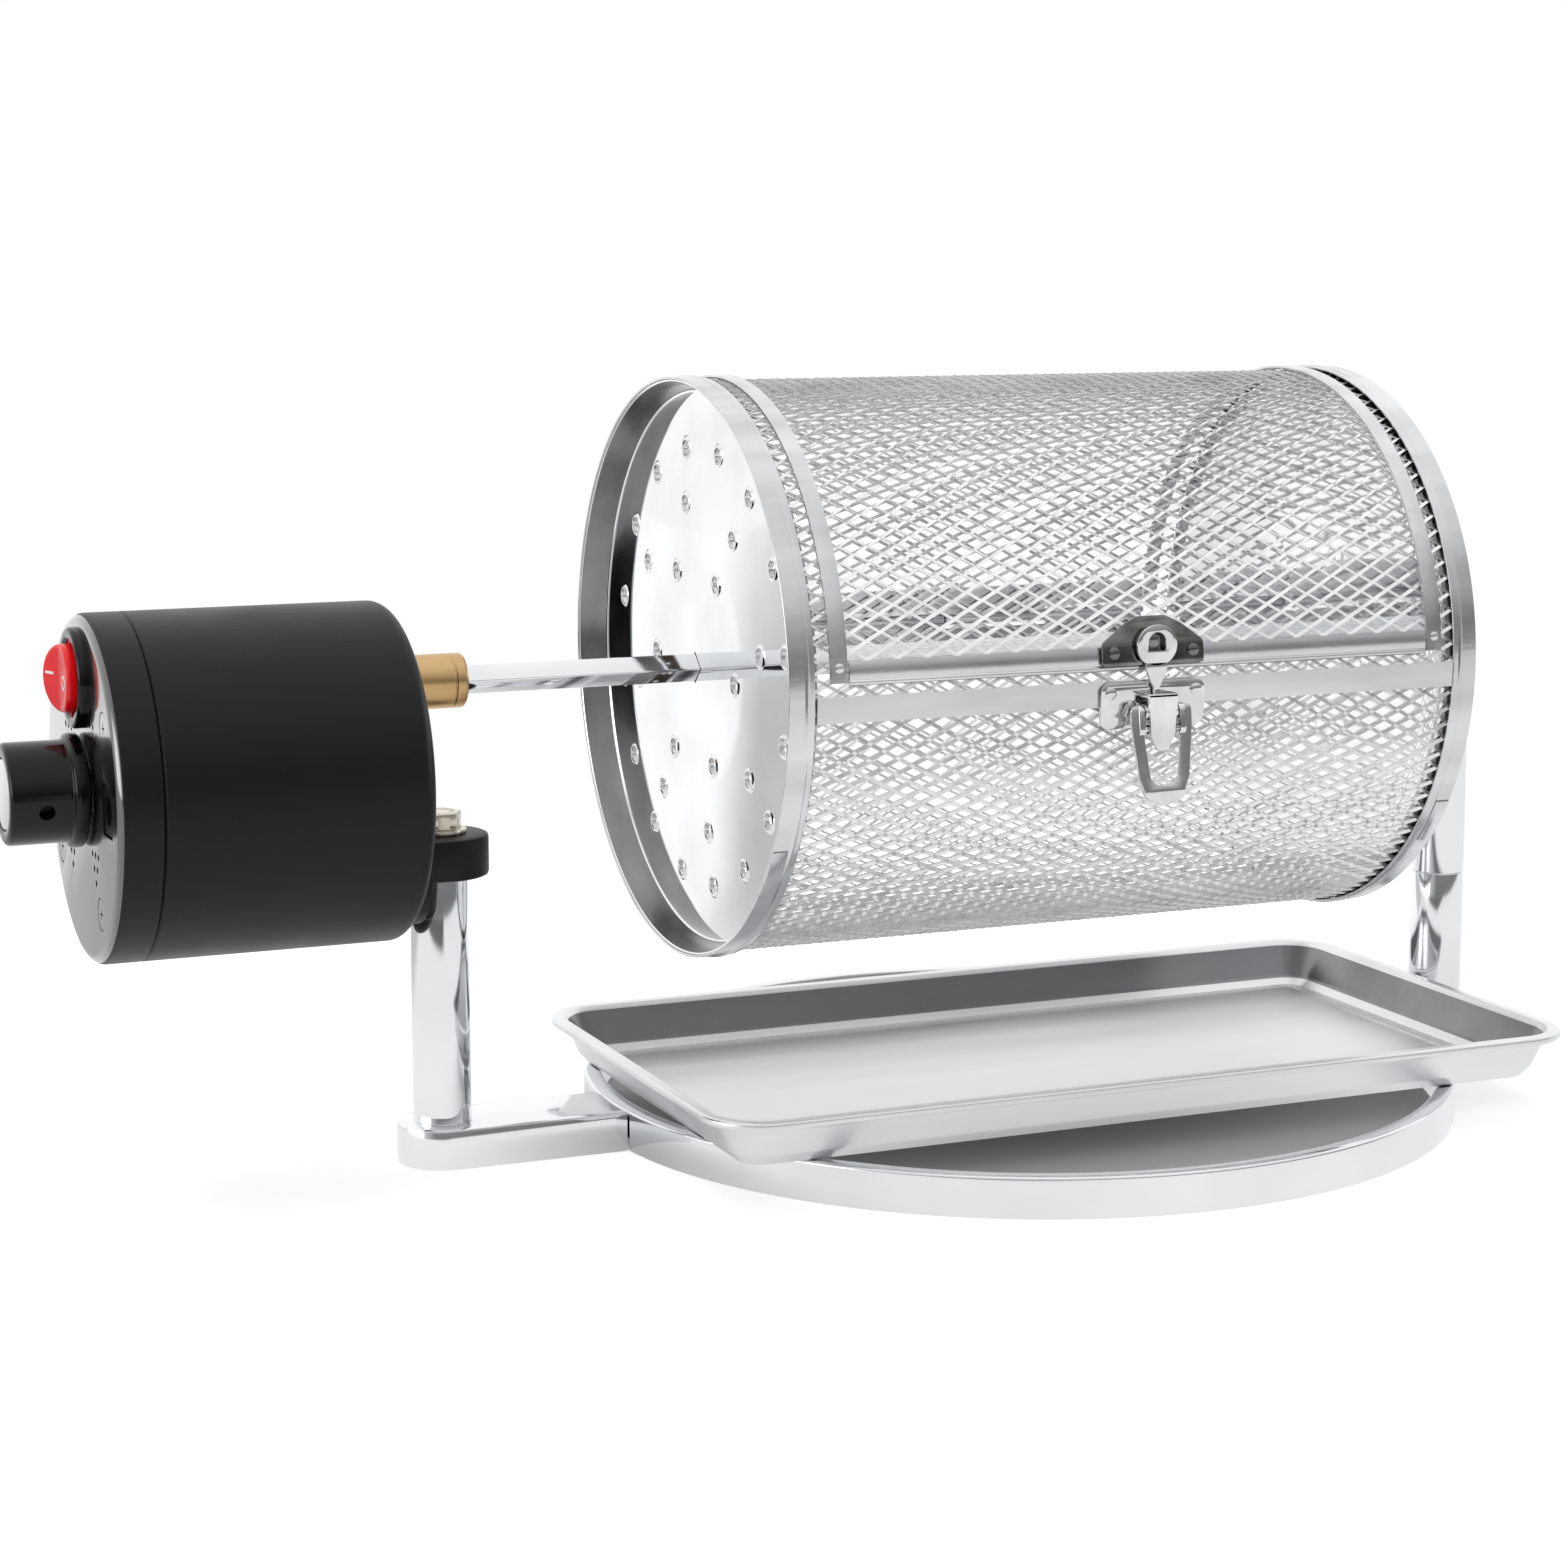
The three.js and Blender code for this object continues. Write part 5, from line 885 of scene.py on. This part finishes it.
bends = [("v", -16 + k) for k in range(34)]
loop = mirrored([(13.5, 4.7, 0.8), (13.5, 10, 2), (7.5, 14.3, 3), (3.5, 16.1, 2)], 5)
sheet = plate("catch", loop, LATCH_IN, LATCH_OUT, wrapped, bevel=0.2, bends=bends)
profile = [(LATCH_IN, 0), (LATCH_IN, 1.9), (LATCH_OUT, 1.8)]
profile += [(LATCH_OUT + 0.2, 1.4), (LATCH_OUT + 0.3, 0)]
bump = turned(lathe("bump", profile, "Z", (0, 0), 32), (LATCH_X, 0, DRUM_Z + 10.3), 90)
catch = fuse("catch_plate", sheet, bump, rivet_head(-10.5, 7.8), rivet_head(10.5, 7.8))
# The catch plate gets the darker copy: a painted dark reflection.
place(catch, "door", catch_painted_dark_reflection, "latch_catch", slot="latch_steel")

loop = rectangle(-13.8, 13.8, -10.2, 0.9, 2.5, 6)
parts = [plate("base", loop, LATCH_IN, LATCH_OUT, wrapped, bevel=0.2, bends=bends)]
ear = [(71.2, -7.9), (71.2, -4.1)] + arc(-PIVOT_Y, -6, EAR_R, 90, -90, 16)
for x in (-4.3, 3.5):
    parts.append(plate(
        "ear", [(-y, DRUM_Z + z) for y, z in ear], LATCH_X + x, LATCH_X + x + 0.8, flat_x, bevel=0.12))
parts.append(rod("pivot", LATCH_PIN_R, LATCH_X - 6.5, LATCH_X + 6.5, "X", (PIVOT_Y, PIVOT_Z), 0.25, 24))
parts += [rivet_head(-11.4, -1.6), rivet_head(11.4, -1.6)]
place(fuse("latch_plate", *parts), "drum", latch_steel, "latch_base", slot="latch_steel")


def lever_front(u, v, w):
    """As front, but on the leaning lever and from its pivot."""
    spot = LEAN @ Vector((0, -w, v))
    return LATCH_X + u, PIVOT_Y + spot.y, PIVOT_Z + spot.z


def lever_side(u, v, w):
    """The lever's side view: (towards the back, up, x from the latch's middle)."""
    spot = LEAN @ Vector((0, u, v))
    return LATCH_X + w, PIVOT_Y + spot.y, PIVOT_Z + spot.z


right = [(0, -22.1, 5), (5.2, -20.6, 3.4), (6.6, -15.8, 4), (8, -3, 12), (8, 1.5, 1.2)]
left = [(-x, z, r) for x, z, r in reversed(right[1:])]
inner = [(5.2, 1.5, 1), (5, -4, 12), (3.5, -17.2, 2.8)]
inner += [(-x, z, r) for x, z, r in reversed(inner)]
parts = [plate("frame", soften(left + right + inner, 0, 5), 0.4, 1.4, lever_front, bevel=0.25)]
lug = arc(0, 0, EAR_R, 0, 180, 14) + arc(0, -4, EAR_R, 180, 360, 14)
for x in (-6.2, 4.6):
    parts.append(plate("lug", lug, x, x + LUG_THICK, lever_side, bevel=0.2))
link_at = lever_side(0, -4, 0)[1:]
parts.append(rod("link_pin", LATCH_PIN_R, LATCH_X - 5.4, LATCH_X + 5.4, "X", link_at, 0.2, 20))
place(fuse("lever_frame", *parts), "lever", latch_steel, "latch_lever", slot="latch_steel")

angles = [TURN * k / 48 for k in range(48)]
eye = [(5.35 * math.cos(a), 9.35 + 4.95 * math.sin(a)) for a in angles]
window = [(-2.25, 8.1), (2.25, 8.1)] + arc(0, 10.15, 2.25, 0, 180, 16)
neck = mirrored([(0.7, -2.6, 0.2), (0.8, -0.6, 1), (1.6, 1, 1.2), (2.7, 3.4, 1.5), (2.8, 5.5, 0)], 4)
step = soften([(-LINK, -2.6), (-LINK, -1.6), (-TAIL - SHEET, -1.6), (-TAIL - SHEET, -2.6)], 0.3, 3)
tail = [(-4, -1.6, 0.5), (-3.2, -11.4, 1.5), (-1.4, -15, 1.2)]
tail += [(-x, z, r) for x, z, r in reversed(tail)]
parts = [
    plate("eye", eye, LINK, LINK + SHEET, front, [window], 0.3),
    plate("neck", neck, LINK, LINK + SHEET, front),
    plate("step", [(y, DRUM_Z + z) for y, z in step], LATCH_X - 4, LATCH_X + 4, flat_x, bevel=0.2),
    plate("tail", soften(tail, 0, 6), TAIL, TAIL + SHEET, front, bevel=0.3),
    sleeve("knuckle", 1.1, 1.75, LATCH_X - 3.2, LATCH_X + 3.2, link_at, 0.15),
]
place(fuse("latch_hook", *parts), "link", latch_steel, "latch_link", slot="latch_steel")


# Tray


def pan(name, profile, length, width, corner, steps=18):
    """A round-cornered pan from (distance inside its outline, height) points."""
    points, faces, count = [], [], 4 * (steps + 1)
    for inset, height in profile:
        for side_x, side_y, start in ((1, 1, 0), (-1, 1, 90), (-1, -1, 180), (1, -1, 270)):
            for x, y in arc(0, 0, max(corner - inset, 0.3), start, start + 90, steps):
                points.append((
                    TRAY_X + side_x * (length / 2 - corner) + x,
                    TRAY_Y + side_y * (width / 2 - corner) + y, TRAY_Z + height))
    for ring in range(len(profile) - 1):
        for k in range(count):
            a, b = ring * count + k, ring * count + (k + 1) % count
            faces.append([a, b, b + count, a + count])
    faces.append(list(range(count)))
    faces.append([(len(profile) - 1) * count + k for k in reversed(range(count))])
    return build(name, points, faces, 40)


def inner_wall(centre, normal):
    """Whether a face of the tray belongs to the inside of its walls."""
    inward = normal.x * (centre.x - TRAY_X) + normal.y * (centre.y - TRAY_Y)
    return 12.4 < centre.z < 20.8 and normal.z > 0.15 and inward < -6


outside = [(9.5, 0), (7, 2.5, 2.4), (3.2, 11, 0.5), (1.4, 11), (1, 10.2), (0.5, 10, 0.3), (0, 10.6, 0.5)]
inside = [(0, 11.8, 0.8), (0.9, 12.2, 0.8), (3, 12.2, 1.2), (4.2, 11.2, 1), (8, 3, 2.6), (10.5, 1, 1)]
floor_bead = [(14, 1), (15, 1.45, 0.8), (16, 1), (22, 1)]
profile = soften([(12, 0)] + outside + inside + floor_bead, 0, 5, closed=False)
# The inside of the walls gets the darker copy: painted shade.
place(pan("tray_pan", profile, 233, 130, 15), "tray", satin, "collecting_tray", slot="tray_aluminium",
      second=tray_wall_painted_shade, where=inner_wall)

# Pieces inside and underneath keep their CAD form with their own finish

inside_finishes = {
    zinc: [
        "drive_post_screw", "far_post_screw", "bracket_screw_1", "bracket_screw_2", "knob_shaft",
        "potentiometer_nut"],
    steel: [
        "potentiometer", "gearbox_case", "gearbox_plate", "output_gear", "output_shaft", "motor_can",
        "motor_rotor"],
    screw_black: ["knob_set_screw", "coupling_set_screw"],
    bronze: ["output_bush"],
    board_green: ["speed_board"],
    nylon: ["idler_gear_1", "idler_gear_2", "motor_end_cap"],
}
for material, names in inside_finishes.items():
    for name in names:
        nodes[name].data.materials.clear()
        nodes[name].data.materials.append(material)

# Floor, light and camera, in metres but for the floor's own size

FLOOR_HALF_MM = 2600
LEVEL = (1, 1, 1)
RING_EDGE = (0.107, 0.1105)
# The shaded tone is the floor's darker colour inside the ring: a painted shade under the tray.
FLOOR_TONE, SHADED_TONE, ROOM_TONE = 0.8, 0.56, 0.62


def stage_floor():
    """White to the eye but for the object's shadow and a painted shade inside the ring; partly darker
    where only reflections see it, with a painted shadow under the object.
    """
    size = FLOOR_HALF_MM
    corners = [(-size, -size, 0), (size, -size, 0), (size, size, 0), (-size, size, 0)]
    floor = build("floor", corners, [(0, 1, 2, 3)])
    material = bpy.data.materials.new("floor_white")
    material.use_nodes = True
    tree = material.node_tree
    shader = tree.nodes["Principled BSDF"]
    shader.inputs["Roughness"].default_value = 0.9
    shader.inputs["Specular IOR Level"].default_value = 0
    spot = add(tree, "TexCoord", {}).outputs["Object"]
    split = add(tree, "SeparateXYZ", {"Vector": spot})
    x, y = split.outputs["X"], split.outputs["Y"]

    def spread(source, low, high, first, last):
        made = add(tree, "MapRange", {
            "Value": source, "From Min": low, "From Max": high, "To Min": first, "To Max": last})
        made.interpolation_type = "SMOOTHSTEP"
        return made.outputs["Result"]

    def number(operation, first, second):
        made = add(tree, "Math", {0: first, 1: second})
        made.operation = operation
        return made.outputs["Value"]

    def distance(scale, middle):
        """How far a point lies from (middle, 0), each axis counted at its scale."""
        shift = (-middle * scale[0], 0, 0)
        moved = add(tree, "Mapping", {"Vector": spot, "Location": shift, "Scale": scale})
        length = add(tree, "VectorMath", {0: moved.outputs["Vector"]})
        length.operation = "LENGTH"
        return length.outputs["Value"]

    def glow(strength):
        return add(tree, "Emission", {"Strength": strength}).outputs["Emission"]

    def mix(amount, first, second):
        return add(tree, "MixShader", {"Fac": amount, 1: first, 2: second}).outputs["Shader"]

    # Seen directly: painted shade inside the ring, a darker floor colour with no glow, so the tray's
    # real shadow shows too; lit and with the object's shadow round it, white further out
    from_ring = distance(LEVEL, RING_X * MM)
    shade = add(tree, "MixRGB", {"Color1": grey(SHADED_TONE), "Color2": grey(FLOOR_TONE)})
    tree.links.new(spread(from_ring, *RING_EDGE, 0, 1), shade.inputs["Fac"])
    tree.links.new(shade.outputs["Color"], shader.inputs["Base Color"])
    plain = shader.outputs["BSDF"]
    lit = add(tree, "AddShader", {0: plain, 1: glow(spread(from_ring, *RING_EDGE, 0, 0.5))})
    far = spread(distance(LEVEL, 0.03), 0.3, 0.55, 0, 1)
    eye = mix(far, lit.outputs["Shader"], glow(1))

    # Seen in reflections: a painted shadow under the object, dark at the left in front, graded behind it
    under = spread(distance((1, 1.6, 1), 0.05), 0.06, 0.16, 0.15, 1)
    left = number("MULTIPLY", spread(x, -0.22, -0.04, 1, 0), spread(y, -0.62, -0.44, 1, 0))
    left = number("SUBTRACT", 1, number("MULTIPLY", left, 0.84))
    slope = number("DIVIDE", x, number("MAXIMUM", y, 0.1))
    behind = number("MULTIPLY", spread(y, 0.1, 0.25, 0, 1), spread(slope, -0.66, -0.48, 0.33, -0.2))
    behind = number("SUBTRACT", 0.95, behind)
    seen = glow(number("MULTIPLY", number("MULTIPLY", under, left), behind))

    path = add(tree, "LightPath", {}).outputs
    direct = mix(path["Is Camera Ray"], plain, eye)
    surface = mix(path["Is Glossy Ray"], direct, seen)
    tree.links.new(surface, tree.nodes["Material Output"].inputs["Surface"])
    floor.data.materials.append(material)


stage_floor()


def studio():
    """White to the eye; in reflections white behind the object, dim in front, a softbox at the left."""
    world = bpy.data.worlds.new("studio")
    bpy.context.scene.world = world
    world.use_nodes = True
    tree = world.node_tree
    tree.nodes.clear()
    spot = add(tree, "TexCoord", {}).outputs["Generated"]
    way = add(tree, "SeparateXYZ", {"Vector": spot}).outputs

    def ramp(source, stops):
        """Grey values at the given places of a direction's part, which runs from -1 to 1."""
        share = add(tree, "MapRange", {"Value": source, "From Min": -1, "From Max": 1})
        made = add(tree, "ValToRGB", {"Fac": share.outputs["Result"]})
        made.color_ramp.interpolation = "EASE"
        while len(made.color_ramp.elements) < len(stops):
            made.color_ramp.elements.new(0.5)
        for element, (position, value) in zip(made.color_ramp.elements, stops):
            element.position = (position + 1) / 2
            element.color = grey(value)
        return made.outputs["Color"]

    def mix(amount, first, second):
        return add(tree, "MixRGB", {"Fac": amount, "Color1": first, "Color2": second}).outputs["Color"]

    height = ramp(way["Z"], [
        (-1, 0.9), (-0.08, 0.8), (0, 0.2), (0.1, 0.24), (0.3, 0.5), (0.55, 0.8), (0.9, 1)])
    rear = mix(ramp(way["Y"], [(-0.35, 0), (0.2, 1)]), height, grey(1.1))
    sides = mix(ramp(way["X"], [(-1, 0.75), (-0.55, 0)]), rear, grey(0.8))
    softbox = mix(ramp(way["X"], [(-0.97, 1), (-0.88, 0)]), sides, grey(4))
    path = add(tree, "LightPath", {}).outputs
    room = mix(path["Is Glossy Ray"], grey(ROOM_TONE), softbox)
    plain = add(tree, "Math", {0: path["Is Camera Ray"], 1: path["Is Transmission Ray"]})
    plain.operation = "MAXIMUM"
    glow = add(tree, "Background", {"Color": mix(plain.outputs["Value"], room, grey(1))})
    add(tree, "OutputWorld", {"Surface": glow.outputs["Background"]})


studio()


def lamp(name, spot, target, size, watts):
    light = bpy.data.lights.new(name, "AREA")
    light.shape = "DISK"
    light.size = size
    light.energy = watts
    holder = bpy.data.objects.new(name, light)
    holder.location = spot
    holder.rotation_euler = (Vector(target) - Vector(spot)).to_track_quat("-Z", "Y").to_euler()
    holder.visible_glossy = False
    bpy.context.scene.collection.objects.link(holder)


lamp("top_light", (-0.3, 0.2, 1.6), (0, 0, 0.05), 1.4, 9)
lamp("front_light", (-0.9, -1.3, 1.1), (0, 0, 0.08), 1.2, 8)

CAMERA_AT = (-0.32445, -0.7437, 0.2181)
CAMERA_TILT, CAMERA_TURN = 80.72, -23.146

camera = bpy.data.cameras.new("photo_view")
camera.lens = 76.03
camera.sensor_width = 36
holder = bpy.data.objects.new("photo_view", camera)
holder.location = CAMERA_AT
holder.rotation_euler = (math.radians(CAMERA_TILT), 0, math.radians(CAMERA_TURN))
bpy.context.scene.collection.objects.link(holder)
bpy.context.scene.camera = holder
bpy.context.scene.view_settings.view_transform = "Standard"
